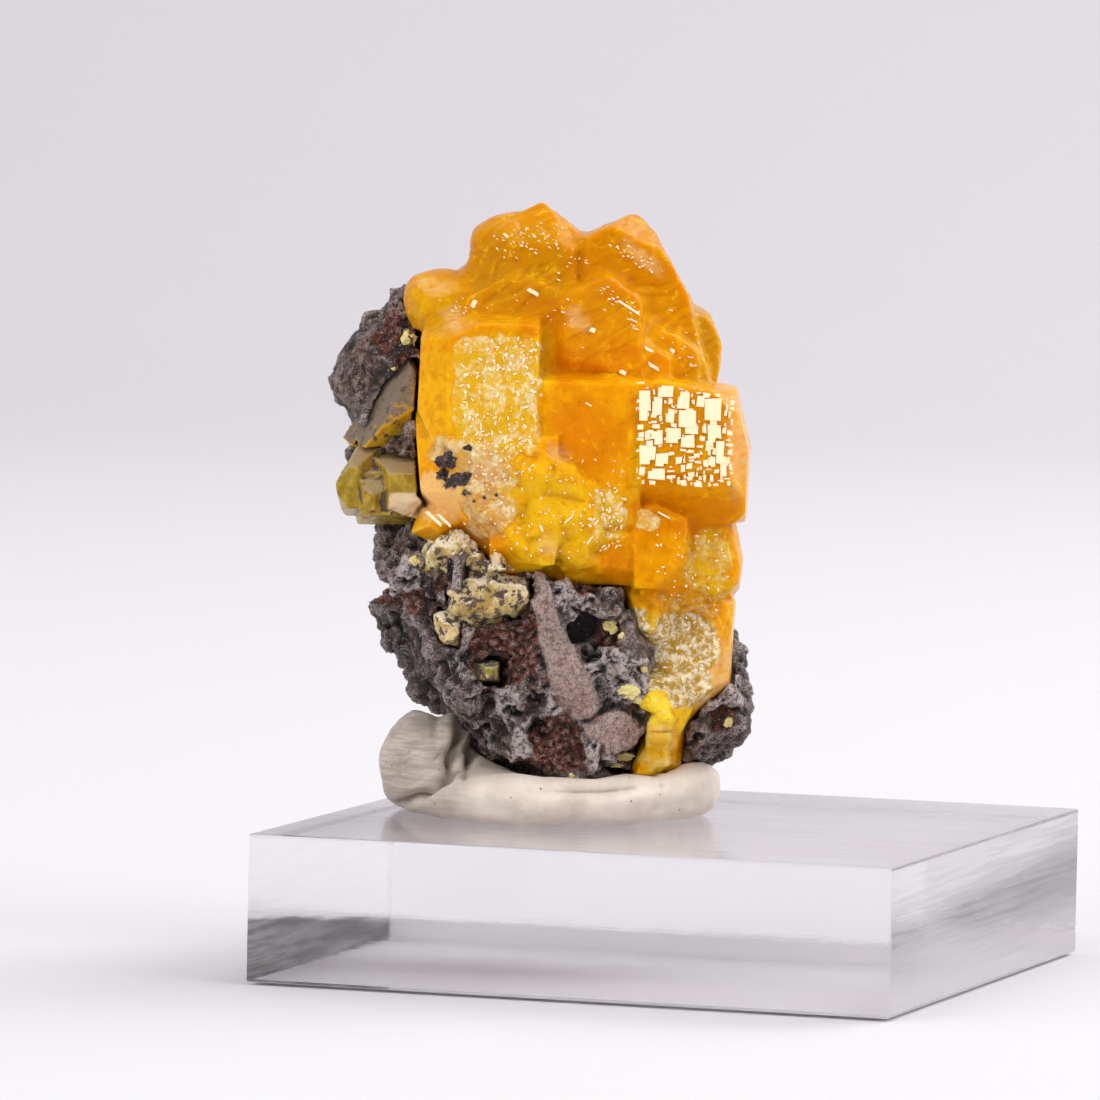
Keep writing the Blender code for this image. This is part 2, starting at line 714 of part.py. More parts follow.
def main():
    start_clean()
    acrylic = material("clear_acrylic", (0.93, 0.93, 0.95), 0.05, transmission=1.0)
    putty_grey = material("grey_putty", (0.62, 0.57, 0.51), 0.6)
    ironstone = material("dark_ironstone", (0.10, 0.085, 0.085), 0.6)
    amber = material("amber_mimetite", (0.86, 0.46, 0.02), 0.2)
    pale = material("pale_mimetite", (0.62, 0.52, 0.16), 0.3)
    build_block(acrylic)
    frame = specimen_frame()
    groups = [
        ("main_crystals", MAIN_CRYSTALS, amber),
        ("left_crystals", LEFT_CRYSTALS, pale),
        ("blade_crystal", BLADE_CRYSTALS, pale),
        ("front_crust", CRUST_CRYSTALS, pale),
        ("pocket_crystal", POCKET_CRYSTALS, pale),
    ]
    rooms = []
    for name, crystals, finish in groups:
        cut_back(solid_of(crystals, name, finish, frame), rooms)
        rooms.append(solid_of(crystals, f"{name}_room", grow=GAP))
    rock = build_rock(frame, ironstone, rooms)
    build_putty(frame, putty_grey, rock, rooms)
    for room in rooms:
        bpy.data.objects.remove(room)


main()
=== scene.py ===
"""The looks of a mimetite specimen: amber crystals on dark rock, in putty, on a clear acrylic block."""

import math

import bmesh
import bpy
import numpy as np
from mathutils import Matrix, Vector, noise
from mathutils.bvhtree import BVHTree


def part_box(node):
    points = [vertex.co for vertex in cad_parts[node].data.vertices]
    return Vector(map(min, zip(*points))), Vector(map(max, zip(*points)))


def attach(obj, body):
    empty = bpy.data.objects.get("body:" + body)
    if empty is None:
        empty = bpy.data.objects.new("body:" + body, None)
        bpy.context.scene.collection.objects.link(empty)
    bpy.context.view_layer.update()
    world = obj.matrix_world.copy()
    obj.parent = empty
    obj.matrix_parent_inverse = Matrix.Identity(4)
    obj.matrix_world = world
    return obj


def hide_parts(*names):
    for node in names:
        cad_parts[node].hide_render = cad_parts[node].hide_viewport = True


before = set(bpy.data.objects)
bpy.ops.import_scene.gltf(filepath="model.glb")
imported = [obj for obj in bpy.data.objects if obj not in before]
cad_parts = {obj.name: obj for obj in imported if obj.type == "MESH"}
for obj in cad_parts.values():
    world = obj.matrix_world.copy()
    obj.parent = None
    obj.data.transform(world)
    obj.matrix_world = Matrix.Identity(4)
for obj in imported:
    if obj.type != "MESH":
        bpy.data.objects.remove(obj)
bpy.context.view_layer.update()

MM = 0.001


# The acrylic block. The real one is a square sawn from thick clear cast sheet. Its top, front and back are
# polished, the back worn along its foot, its underside is matt, and its two sides are as the saw left them.
# The dark strip along the foot of the left side, which falls towards the back, is painted shade.
class Wire:
    """One output of a node. Sums on it add the Math nodes that they need."""

    def __init__(self, finish, socket):
        self.finish = finish
        self.socket = socket

    def math(self, operation, *others):
        return self.finish.node("ShaderNodeMath", {"operation": operation}, self, *others)

    def __add__(self, other):
        return self.math("ADD", other)

    __radd__ = __add__

    def __sub__(self, other):
        return self.math("SUBTRACT", other)

    def __rsub__(self, other):
        return self.finish.node("ShaderNodeMath", {"operation": "SUBTRACT"}, other, self)

    def __mul__(self, other):
        return self.math("MULTIPLY", other)

    __rmul__ = __mul__

    def between(self, low, high):
        """0 below low, 1 above high and a soft step between them."""
        settings = {"interpolation_type": "SMOOTHSTEP"}
        return self.finish.node("ShaderNodeMapRange", settings, self, low, high, 0.0, 1.0)

    def out(self, name):
        return Wire(self.finish, self.socket.node.outputs[name])


class Finish:
    """A material in the making, with one method for every node that isn't a sum."""

    def __init__(self, name):
        self.material = bpy.data.materials.new(name)
        self.material.use_nodes = True
        self.tree = self.material.node_tree
        self.tree.nodes.clear()

    def node(self, kind, settings=None, *inputs, **named):
        made = self.tree.nodes.new(kind)
        for key, value in (settings or {}).items():
            setattr(made, key, value)
        usable = [socket for socket in made.inputs if socket.enabled]
        for socket, value in zip(usable, inputs):
            self.feed(socket, value)
        for key, value in named.items():
            wanted = key.replace("_", " ")
            self.feed(next(socket for socket in usable if socket.name == wanted), value)
        return Wire(self, next(socket for socket in made.outputs if socket.enabled))

    def feed(self, socket, value):
        if isinstance(value, Wire):
            self.tree.links.new(value.socket, socket)
        elif isinstance(value, tuple) and socket.type == "RGBA" and len(value) == 3:
            socket.default_value = (*value, 1.0)
        else:
            socket.default_value = value

    def place(self):
        """Where a point is in the piece's own frame, in millimetres."""
        where = self.node("ShaderNodeTexCoord").out("Object")
        return self.node("ShaderNodeVectorMath", {"operation": "SCALE"}, where, Scale=1.0 / MM)

    def stretched(self, where, turn, scale):
        """A place turned and squeezed, so that what is drawn on it runs in one direction."""
        return self.node("ShaderNodeMapping", None, where, (0.0, 0.0, 0.0), turn, scale)

    def grain(self, where, per_mm, detail=3.0, rough=0.55, warp=0.0):
        """Cloudy noise about 0.5, with so many lumps to the millimetre."""
        return self.node("ShaderNodeTexNoise", None, where, per_mm, detail, rough, Distortion=warp)

    def facets(self, where, per_mm):
        """Heights that tilt each small cell its own way, like the faces of a fine crystalline crust."""
        own = self.node("ShaderNodeTexVoronoi", None, where, Scale=per_mm).out("Color")
        tilt = self.node("ShaderNodeVectorMath", {"operation": "SUBTRACT"}, own, (0.5, 0.5, 0.5))
        return self.node("ShaderNodeVectorMath", {"operation": "DOT_PRODUCT"}, tilt, where).out("Value")

    def mask(self, name):
        """A mask that was painted on the mesh, from 0 to 1."""
        return self.node("ShaderNodeAttribute", {"attribute_name": name}).out("Fac")

    def mix(self, share, below, above):
        return self.node("ShaderNodeMix", {"data_type": "RGBA"}, share, below, above)

    def bump(self, height, distance, strength=1.0, under=None):
        inputs = {"Strength": strength, "Distance": distance * MM, "Height": height}
        if under:
            inputs["Normal"] = under
        return self.node("ShaderNodeBump", None, **inputs)

    def surface(self, colour, roughness, normal=None, **constants):
        inputs = {"Base_Color": colour, "Roughness": roughness, **constants}
        if normal:
            inputs["Normal"] = normal
        return self.node("ShaderNodeBsdfPrincipled", None, **inputs)

    def done(self, surface, volume=None):
        """Ends the material in a surface, and in a volume where it is see-through."""
        end = self.tree.nodes.new("ShaderNodeOutputMaterial")
        self.tree.links.new(surface.socket, end.inputs["Surface"])
        if volume:
            self.tree.links.new(volume.socket, end.inputs["Volume"])
        return self.material


def add_piece(mesh, name, slot, *nodes, at=Matrix.Identity(4), smooth=True):
    """Puts a mesh in the scene as a piece of the object, in place of the CAD nodes it stands for."""
    piece = bpy.data.objects.new(name, mesh)
    bpy.context.scene.collection.objects.link(piece)
    mesh.transform(at)
    for polygon in mesh.polygons:
        polygon.use_smooth = smooth
    if nodes:
        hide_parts(*nodes)
    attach(piece, "root")


def acrylic(name, tint, roughness, rougher, scratches, along, matt_below=0.0, matt_tones=None, share=0.0, fall=0.0):
    """Clear acrylic, scratched in one direction and matt below a height in mm that falls to the back."""
    finish = Finish(name)
    where = finish.place()
    marks = finish.grain(finish.stretched(where, (0.0, 0.0, 0.0), along), 2.5, 6.0, 0.7)
    lines = marks.between(0.40, 0.62)
    volume = finish.node("ShaderNodeVolumeAbsorption", None, (0.90, 0.89, 0.92), 0.8)
    surface = finish.surface(
        finish.mix(lines, tint, (1.0, 1.0, 1.0)), roughness + rougher * lines,
        finish.bump(marks, scratches, 0.7), Transmission_Weight=1.0, IOR=1.49,
    )
    if matt_tones:
        apart = finish.node("ShaderNodeSeparateXYZ", None, where)
        height = apart.out("Z") + 1.2 * (marks - 0.5) + fall * apart.out("Y")
        strip = 1.0 - height.between(matt_below - 0.25, matt_below + 0.25)
        matt = finish.surface(finish.mix(lines, *matt_tones), 0.6)
        surface = finish.node("ShaderNodeMixShader", None, strip * share, surface, matt)
    return finish.done(surface, volume)


block_low, block_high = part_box("acrylic_block")
bm = bmesh.new()
bmesh.ops.create_cube(bm, size=1.0)
bmesh.ops.scale(bm, vec=block_high - block_low, verts=bm.verts)
bmesh.ops.translate(bm, vec=(block_low + block_high) / 2.0, verts=bm.verts)
bmesh.ops.bevel(bm, geom=bm.edges[:], offset=0.22 * MM, segments=2, profile=0.6, affect="EDGES")
bm.normal_update()
POLISHED, SAWN_LEFT, SAWN_RIGHT, GROUND, BACK, TOP = range(6)
for face in bm.faces:
    if abs(face.normal.x) > 0.5:
        face.material_index = SAWN_RIGHT if face.normal.x > 0.0 else SAWN_LEFT
    elif abs(face.normal.z) > 0.9:
        face.material_index = TOP if face.normal.z > 0.0 else GROUND
    elif face.normal.y > 0.5:
        face.material_index = BACK
block_mesh = bpy.data.meshes.new("clear_block")
bm.to_mesh(block_mesh)
bm.free()
pale = (0.995, 0.99, 1.0)
along_side, along_front = (1.0, 0.03, 1.0), (0.03, 1.0, 1.0)
# Painted shade: dark tones for the matt strip along the foot of the left side, which falls towards the back.
painted_shade_tones = (0.05, 0.045, 0.045), (0.34, 0.32, 0.32)
ground_pale = (0.97, 0.93, 0.97), (0.99, 0.95, 0.99)
for finished in (
    acrylic("polished_acrylic", pale, 0.01, 0.05, 0.006, (0.03, 0.3, 1.0)),
    acrylic("left_sawn_acrylic", pale, 0.12, 0.1, 0.005, along_side, 2.9, painted_shade_tones, 0.85, 0.062),
    acrylic("right_sawn_acrylic", pale, 0.10, 0.15, 0.008, along_side),
    acrylic("ground_acrylic", pale, 0.6, 0.05, 0.01, (0.3, 0.3, 1.0), 20.0, ground_pale, 0.85),
    acrylic("back_acrylic", pale, 0.01, 0.05, 0.006, along_front, 1.6, ground_pale, 0.75),
    acrylic("top_acrylic", pale, 0.10, 0.08, 0.006, (0.03, 0.3, 1.0)),
):
    block_mesh.materials.append(finished)
add_piece(block_mesh, "clear_block", "clear_acrylic", "acrylic_block", smooth=False)


# The putty. The real lump was pressed out by thumb into a low disc with a rounded rim, and the spare was
# rolled up and folded over at the left, where it shows a dark crease and fine stretch marks.
TURN = math.radians(18.35)
specimen = Matrix.Translation((-9.0 * MM, 1.0 * MM, block_high.z)) @ Matrix.Rotation(TURN, 4, "Z")


def fine_skin(node, grain):
    """A CAD node's shape as an even, fine mesh in the specimen's frame, lying on the CAD faces."""
    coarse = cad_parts[node].data.copy()
    coarse.transform(specimen.inverted())
    carrier = bpy.data.objects.new("carrier", coarse)
    bpy.context.scene.collection.objects.link(carrier)
    skin = carrier.modifiers.new("skin", "REMESH")
    skin.mode = "VOXEL"
    skin.voxel_size = grain * MM
    evaluated = carrier.evaluated_get(bpy.context.evaluated_depsgraph_get())
    fine = bpy.data.meshes.new_from_object(evaluated)
    bm = bmesh.new()
    bm.from_mesh(coarse)
    faces = BVHTree.FromBMesh(bm)
    bm.free()
    for vert in fine.vertices:
        vert.co = faces.find_nearest(vert.co)[0]
    bpy.data.objects.remove(carrier)
    return fine


def places(mesh):
    """The points of a mesh, in millimetres, one row each."""
    flat = np.empty(len(mesh.vertices) * 3)
    mesh.vertices.foreach_get("co", flat)
    return flat.reshape(-1, 3) / MM


def normals(mesh):
    flat = np.empty(len(mesh.vertices) * 3)
    mesh.vertices.foreach_get("normal", flat)
    return flat.reshape(-1, 3)


def push(mesh, heights):
    """Moves each point out along its normal, by millimetres."""
    moved = (places(mesh) + normals(mesh) * heights[:, None]) * MM
    mesh.vertices.foreach_set("co", moved.ravel())
    mesh.update()


def cloud(points, size, octaves=4, rough=0.9):
    """Cloudy noise about 0 at each point, its largest lumps of that size."""
    return np.array([noise.fractal(Vector(point) / size, rough, 2.1, octaves) for point in points])


def soft_step(values, low, high):
    share = np.clip((values - low) / (high - low), 0.0, 1.0)
    return share * share * (3.0 - 2.0 * share)


def wandered(points, size, reach):
    """The points shifted about by slow noise, the same each run, to give what is drawn a natural outline."""
    noise.seed_set(7)
    return points + reach * np.array([noise.noise_vector(Vector(point) / size) for point in points])


def patches(points, spots, edge=0.3, corners=3.0):
    """A mask of blunt-cornered patches seen from the front: (x, z, half width, half height, lean)."""
    mask = np.zeros(len(points))
    for x, z, half_width, half_height, lean in spots:
        across, up = points[:, 0] - x, points[:, 2] - z
        turn = math.radians(lean)
        along = np.abs(across * math.cos(turn) + up * math.sin(turn)) / half_width
        over = np.abs(up * math.cos(turn) - across * math.sin(turn)) / half_height
        reach = (along ** corners + over ** corners) ** (1.0 / corners)
        mask = np.maximum(mask, 1.0 - soft_step(reach, 1.0 - edge, 1.0 + edge))
    return mask


def paint(mesh, name, values):
    """Keeps a mask on the mesh for its material to read."""
    layer = mesh.attributes.new(name, "FLOAT", "POINT")
    layer.data.foreach_set("value", np.clip(values, 0.0, 1.0).astype(np.float32))


def groove(points, start, end, width, depth):
    """A soft groove of that depth along a line (x, z) seen from the front, in millimetres."""
    start, run = np.array(start), np.array(end) - np.array(start)
    away = points[:, [0, 2]] - start
    share = np.clip(away @ run / (run @ run), 0.0, 1.0)
    distance = np.linalg.norm(away - share[:, None] * run, axis=1)
    taper = np.sin(np.pi * np.clip(share, 0.12, 0.88))
    return -depth * taper * np.exp(-((distance / width) ** 2)) * soft_step(-points[:, 1], 1.0, 3.0)


def relaxer(mesh):
    """A function that brings the points of a mesh half way to the middle of their neighbours on it."""
    ends = np.empty(len(mesh.edges) * 2, dtype=np.int32)
    mesh.edges.foreach_get("vertices", ends)
    one, other, number = ends[::2], ends[1::2], len(mesh.vertices)
    neighbours = np.bincount(ends, minlength=number)

    def relax(points):
        sums = [
            np.bincount(one, points[other, axis], number) + np.bincount(other, points[one, axis], number)
            for axis in range(3)
        ]
        return 0.5 * (points + (np.array(sums) / neighbours).T)

    return relax


def ease(mesh, rounds, fill, wear):
    """Fills the creases of a mesh and wears down its edges, each by its own share."""
    relax = relaxer(mesh)
    for _ in range(rounds):
        points = places(mesh)
        lift = ((relax(points) - points) * normals(mesh)).sum(axis=1)
        push(mesh, np.maximum(lift, 0.0) * fill + np.minimum(lift, 0.0) * wear)


def standing_out(mesh, rounds):
    """How far each point stands out from the mesh smoothed: above 0 on edges and below it in creases."""
    relax, points = relaxer(mesh), places(mesh)
    smoothed = points
    for _ in range(rounds):
        smoothed = relax(smoothed)
    return ((points - smoothed) * normals(mesh)).sum(axis=1)


putty_mesh = fine_skin("putty", 0.24)
ease(putty_mesh, 40, 1.0, 0.9)
points = places(putty_mesh)
relief = 0.25 + 0.22 * cloud(points, 4.5, 3) + 0.035 * cloud(points, 0.9, 3)
relief += 0.9 * patches(points, [(-6.8, 5.4, 1.1, 1.0, 0)])
creases = [
    ((-10.6, 0.6), (-6.3, 3.4), 0.30, 1.7), ((-7.0, 2.8), (-6.7, 6.2), 0.34, 1.4),
    ((-5.9, 3.0), (-5.0, 5.8), 0.30, 1.2), ((-6.8, 4.6), (-5.0, 4.2), 0.26, 0.5),
    ((-1.4, 2.4), (7.4, 2.7), 0.30, 0.5), ((2.0, 1.9), (5.0, 2.3), 0.20, 0.2),
    ((-11.0, 3.2), (-9.0, 4.2), 0.14, 0.16), ((-11.2, 2.6), (-9.4, 3.4), 0.14, 0.14),
    ((-10.9, 3.9), (-8.6, 4.9), 0.15, 0.16), ((-10.4, 4.7), (-8.2, 5.4), 0.15, 0.14),
    ((-9.6, 2.0), (-7.6, 3.6), 0.13, 0.12), ((-8.6, 3.6), (-7.2, 4.6), 0.14, 0.14),
    ((-5.0, 1.4), (-2.0, 1.0), 0.40, 0.16), ((4.0, 1.2), (9.6, 1.5), 0.40, 0.16),
]
for start, end, width, depth in creases:
    relief += groove(points, start, end, width, depth)
push(putty_mesh, relief)
paint(putty_mesh, "crease", -standing_out(putty_mesh, 12) / 0.10)
paint(putty_mesh, "shaded_roll", patches(points, [(-9.8, 3.8, 3.5, 3.2, 0)], 0.6))

finish = Finish("grey_putty")
where = finish.place()
smudge = finish.grain(where, 0.35, 4.0)
colour = finish.mix(smudge.between(0.35, 0.7), (0.68, 0.58, 0.49), (0.84, 0.74, 0.64))
streaks = finish.grain(finish.stretched(where, (0.0, -0.5, 0.0), (0.4, 0.4, 3.0)), 1.2, 4.0, 0.6)
# Painted shade: the rolled spare is painted darker where the rock shadows it, with darker streaks along its
# stretch marks.
colour = finish.mix(finish.mask("shaded_roll") * 0.55, colour, (0.44, 0.37, 0.31))
colour = finish.mix(finish.mask("shaded_roll") * streaks.between(0.36, 0.66) * 0.55, colour, (0.25, 0.20, 0.165))
specks = finish.node("ShaderNodeTexVoronoi", None, where, Scale=0.9).out("Distance")
colour = finish.mix(1.0 - specks.between(0.05, 0.09), colour, (0.32, 0.16, 0.07))
# Painted shade in the creases.
colour = finish.mix(finish.mask("crease") * 0.8, colour, (0.30, 0.25, 0.21))
fine = finish.grain(where, 5.0, 4.0, 0.6)
normal = finish.bump(fine, 0.06, 0.6, finish.bump(finish.grain(where, 1.2, 3.0), 0.14, 0.5))
putty_mesh.materials.clear()
putty_mesh.materials.append(finish.done(
    finish.surface(
        colour, 0.36 + 0.25 * fine, normal,
        Subsurface_Weight=0.25, Subsurface_Radius=(1.0, 0.8, 0.6), Subsurface_Scale=0.8 * MM,
    )
))
add_piece(putty_mesh, "pressed_putty", "grey_putty", "putty", at=specimen)


# The rock. The real one is an iron-rich matrix: hard, dark and pitted, with a metallic grey bloom on its
# knobs, red-brown oxide grains in its pockets and one smooth purple-brown ridge down its front.
def cells(points, size):
    """For each point, how far inside its cell it is and the centres of the four cells nearest to it."""
    inside, centres = np.empty(len(points)), np.empty((len(points), 4, 3))
    for index, point in enumerate(points):
        distances, nearest = noise.voronoi(Vector(point) / size)
        inside[index] = distances[1] - distances[0]
        centres[index] = nearest
    return inside, centres


def lots_for(centres, seed):
    """Three random numbers from 0 to 1 for each cell centre, always the same ones."""
    key = np.round(centres * 64.0).astype(np.int64)
    mixed = (key[..., 0] * 73856093) ^ (key[..., 1] * 19349663) ^ (key[..., 2] * 83492791)
    mixed = mixed ^ (seed * 2654435761)
    numbers = [((mixed >> shift) % 1021) / 1020.0 for shift in (3, 11, 19)]
    return np.stack(numbers, axis=-1)


def blocky(points, size, seed):
    """Heights of small square-cornered crystals or grains that poke out at all angles, in their own sizes."""
    centres = cells(points, size)[1]
    away = points[:, None, :] / size - centres
    lots = lots_for(centres, seed)
    turn, rise, roll = lots[..., 0] * math.tau, (lots[..., 1] - 0.5) * math.pi, lots[..., 2] * math.tau
    first = np.stack([np.cos(turn) * np.cos(rise), np.sin(turn) * np.cos(rise), np.sin(rise)], axis=-1)
    flat = np.stack([-np.sin(turn), np.cos(turn), np.zeros_like(turn)], axis=-1)
    second = np.cos(roll)[..., None] * flat + np.sin(roll)[..., None] * np.cross(first, flat)
    third = np.cross(first, second)
    reach = [np.abs((away * axis).sum(axis=-1)) for axis in (first, second, third)]
    return (0.35 * lots[..., 2] - np.maximum(np.maximum(reach[0], reach[1]), reach[2])).max(axis=1) + 0.25


def band(points, line, edge=0.3):
    """A mask along a line seen from the front, each point of the line (x, z, half width)."""
    mask = np.zeros(len(points))
    for (x0, z0, half0), (x1, z1, half1) in zip(line, line[1:]):
        run = np.array([x1 - x0, z1 - z0])
        away = points[:, [0, 2]] - np.array([x0, z0])
        share = np.clip(away @ run / (run @ run), 0.0, 1.0)
        distance = np.linalg.norm(away - share[:, None] * run, axis=1)
        half = half0 + (half1 - half0) * share
        mask = np.maximum(mask, 1.0 - soft_step(distance / half, 1.0 - edge, 1.0 + edge))
    return mask


def lies_on(mesh):
    """A function that gives where a mesh is met, and which way it faces there, looking in at (x, z)."""
    bm = bmesh.new()
    bm.from_mesh(mesh)
    tree = BVHTree.FromBMesh(bm)
    bm.free()

    def look(x, z):
        in_front, inward = Vector((x * MM, -40.0 * MM, z * MM)), Vector((0.0, 1.0, 0.0))
        place, out = tree.ray_cast(in_front, inward)[:2]
        return (place / MM, out) if place else (None, None)

    return look


rock_mesh = fine_skin("matrix_rock", 0.21)
points = places(rock_mesh)
drawn = wandered(wandered(points, 2.0, 0.6), 0.6, 0.3)
front = soft_step(-points[:, 1], 1.0, 4.0)
rust = patches(drawn, [
    (-3.4, 12.0, 2.4, 2.6, 0), (2.8, 16.6, 1.6, 0.9, 10), (0.4, 5.4, 1.7, 1.9, 20), (-7.2, 16.4, 0.7, 0.9, 0),
    (3.4, 13.2, 0.9, 0.8, 0), (-1.6, 3.4, 1.8, 0.9, -10), (11.6, 7.0, 0.8, 0.7, 0), (-2.0, 16.4, 0.6, 1.4, 0),
]) * front
rust = np.maximum(rust, patches(drawn, [(-10.4, 14.6, 2.6, 0.8, 0), (-10.8, 32.2, 1.4, 2.4, 30)]))
steady = 0.75 * points + 0.25 * drawn
ridge = band(steady, [(-1.4, 17.2, 0.6), (-0.4, 13.6, 0.8), (0.6, 11.0, 1.2), (1.8, 8.6, 1.4)]) * front
ridge = np.maximum(ridge, 0.9 * patches(drawn, [(4.2, 6.4, 1.9, 1.3, -25)]) * front)
arms = patches(drawn, [(5.4, 12.4, 2.4, 0.9, -20), (-12.8, 29.6, 2.4, 3.2, 0)])
pits = patches(drawn, [
    (1.8, 13.4, 0.7, 0.8, 20), (2.3, 11.7, 0.5, 0.7, 0), (-13.8, 29.4, 0.5, 0.6, 0),
    (-13.4, 28.0, 0.35, 0.35, 0), (-11.6, 29.1, 0.35, 0.35, 0), (-4.2, 8.2, 0.5, 0.7, 0),
    (4.6, 3.4, 0.9, 0.35, 0), (-1.0, 6.2, 0.6, 0.5, 0),
])
bloom = patches(drawn, [
    (-8.9, 16.6, 1.9, 1.9, -20), (-3.2, 8.5, 0.7, 1.5, 15), (-6.6, 13.2, 0.8, 3.4, 25),
    (4.8, 10.2, 1.8, 1.8, 0), (1.6, 15.6, 1.6, 1.2, 0), (-1.6, 5.6, 1.3, 1.2, 0), (3.0, 11.6, 1.2, 2.0, 10),
    (11.8, 8.6, 1.2, 1.6, 0), (0.9, 8.6, 1.4, 1.2, 0), (-5.0, 5.6, 0.9, 0.8, 0), (2.4, 5.0, 0.7, 0.9, 0),
])
smooth = np.clip(np.maximum(ridge, 0.8 * arms), 0.0, 1.0)
gathered = soft_step(cloud(points + 7.0, 5.0, 2), -0.25, 0.25)
hole = soft_step(cloud(points + 31.0, 1.6, 4, 0.8), 0.18, 0.38) * gathered
hole = np.maximum(hole, pits) * (1.0 - smooth)
pores = soft_step(cloud(points + 57.0, 0.6, 2, 0.8), 0.25, 0.5) * (1.0 - gathered)
blocks, chips = blocky(points, 3.0, 6), blocky(points, 1.25, 2)
relief = 1.25 * (blocks - blocks.mean()) + 0.75 * (chips - chips.mean()) + 0.30 * blocky(points, 0.55, 1)
relief += 0.20 * cloud(points, 1.9, 5) - 0.95 * hole - 0.20 * pores
relief = relief * (1.0 - 0.85 * smooth) * (1.0 - 0.7 * rust) + 0.25 * ridge - 0.70 * rust
relief += 0.70 * rust * np.minimum(cells(points, 0.62)[0], 0.6)
block_edge = [(-11.6, 16.6, 0.35), (-9.4, 12.6, 0.4), (-7.4, 9.4, 0.4), (-5.6, 6.2, 0.4)]
# Painted shade: the rock set back behind the block's left edge is marked for a darker colour.
past_edge = -0.84 * (drawn[:, 0] + 11.4) - 0.54 * (drawn[:, 2] - 16.2)
shade_behind = soft_step(past_edge, 0.0, 0.5) * soft_step(-drawn[:, 2], -17.5, -16.5)
relief += 0.5 * front * band(drawn + [-0.5, 0.0, -0.3], block_edge)
relief -= 0.9 * front * band(drawn + [0.5, 0.0, 0.3], block_edge)
relief -= 0.9 * front * patches(points, [(-6.6, 16.8, 0.6, 1.1, 0)])
push(rock_mesh, np.clip(relief, -1.7, 0.75))
on_rock = lies_on(rock_mesh)
stands, hollows = standing_out(rock_mesh, 8), standing_out(rock_mesh, 60)
for name, mask in (
    ("rust", rust), ("ridge", ridge), ("bloom", bloom * (1.0 - shade_behind)), ("edge", stands / 0.12),
    ("crease", np.maximum(-stands / 0.14, -hollows / 0.5)), ("shade_behind", shade_behind),
):
    paint(rock_mesh, name, mask)

finish = Finish("dark_ironstone")
where = finish.place()
mottle = finish.grain(where, 0.9, 6.0, 0.65)
grit = finish.grain(where, 3.5, 6.0, 0.75)
crumb = finish.grain(where, 9.0, 3.0, 0.6)
edge, crease = finish.mask("edge"), finish.mask("crease")
rust_mask = (finish.mask("rust") + 1.0 * (mottle - 0.5)).between(0.38, 0.58)
ridge_mask = (finish.mask("ridge") + 0.5 * (mottle - 0.5)).between(0.35, 0.65)
bloom_mask = (finish.mask("bloom") * 0.75 + 0.35 * edge + 2.2 * (mottle - 0.52)).between(0.25, 0.7)
colour = finish.mix(grit.between(0.44, 0.58), (0.012, 0.007, 0.006), (0.38, 0.225, 0.18))
shaded = finish.grain(where, 0.42, 4.0, 0.6).between(0.44, 0.54)
colour = finish.mix(shaded * 0.85, colour, (0.022, 0.011, 0.009))
colour = finish.mix(bloom_mask * grit.between(0.42, 0.52), colour, (0.88, 0.78, 0.76))
# Painted shade on the rock set back behind the block's left edge.
colour = finish.mix(finish.mask("shade_behind") * 0.75, colour, (0.020, 0.015, 0.014))
rusty = finish.mix(crumb.between(0.38, 0.60), (0.040, 0.010, 0.007), (0.50, 0.12, 0.045))
colour = finish.mix(rust_mask, colour, rusty)
stain = finish.grain(where, 1.7, 4.0, 0.6).between(0.54, 0.64)
colour = finish.mix(stain * 0.7, colour, (0.28, 0.09, 0.05))
ridge_colour = finish.mix(grit.between(0.38, 0.62), (0.30, 0.155, 0.125), (0.82, 0.56, 0.48))
ridge_colour = finish.mix(crumb.between(0.55, 0.70), ridge_colour, (0.80, 0.70, 0.67))
colour = finish.mix(ridge_mask, colour, ridge_colour)
# Painted highlight: pale specks on the edges that stand out.
colour = finish.mix(edge * 0.65 * crumb.between(0.42, 0.56), colour, (0.84, 0.71, 0.67))
# Painted shade in the creases and large hollows.
colour = finish.mix((crease * (1.0 - 0.6 * ridge_mask)).math("MINIMUM", 0.96), colour, (0.008, 0.005, 0.004))
# Painted glints: tiny pale specks that stand in for sparkle.
glint_specks = finish.grain(where, 6.5, 2.0, 0.5).between(0.67, 0.70)
colour = finish.mix(glint_specks * 0.8, colour, (0.90, 0.87, 0.85))
normal = finish.bump(grit, 0.45, 1.0, finish.bump(finish.facets(where, 3.2), 0.45, 0.9))
normal = finish.bump(crumb, 0.16, 1.0, normal)
rock_mesh.materials.clear()
rock_mesh.materials.append(finish.done(finish.surface(
    colour, 0.24 + 0.45 * grit - 0.1 * glint_specks, normal, Metallic=0.45 * bloom_mask, Specular_IOR_Level=0.8,
)))
add_piece(rock_mesh, "pitted_rock", "dark_ironstone", "matrix_rock", at=specimen, smooth=False)


# The main crystals. They are real mimetite, a lead mineral: heavy, resinous and translucent amber, grown
# into each other, with growth steps on their tops and etched, sugary faces where they were attacked.
def shingles(points, size, turn, slope, levels):
    """Flat growth steps that overlap like shingles, each 0 high at its back and 1 at its sharp front."""
    lean = math.radians(turn)
    along = points[:, 0] * math.cos(lean) - points[:, 2] * math.sin(lean)
    across = points[:, 0] * math.sin(lean) + points[:, 2] * math.cos(lean)
    drawn = np.stack([along * 0.35, points[:, 1] * 0.5, across], axis=1)
    height = cloud(drawn, size, 3) * levels - across * slope
    share = height - np.floor(height)
    return share * (1.0 - soft_step(share, 0.84, 1.0))


def rounded(mesh, centre, radii, mask):
    """Brings the masked points of a mesh on to an ellipsoid, in millimetres."""
    points = places(mesh)
    away = (points - centre) / radii
    goal = centre + away / np.linalg.norm(away, axis=1)[:, None] * radii
    moved = (points + mask[:, None] * (goal - points)) * MM
    mesh.vertices.foreach_set("co", moved.ravel())
    mesh.update()


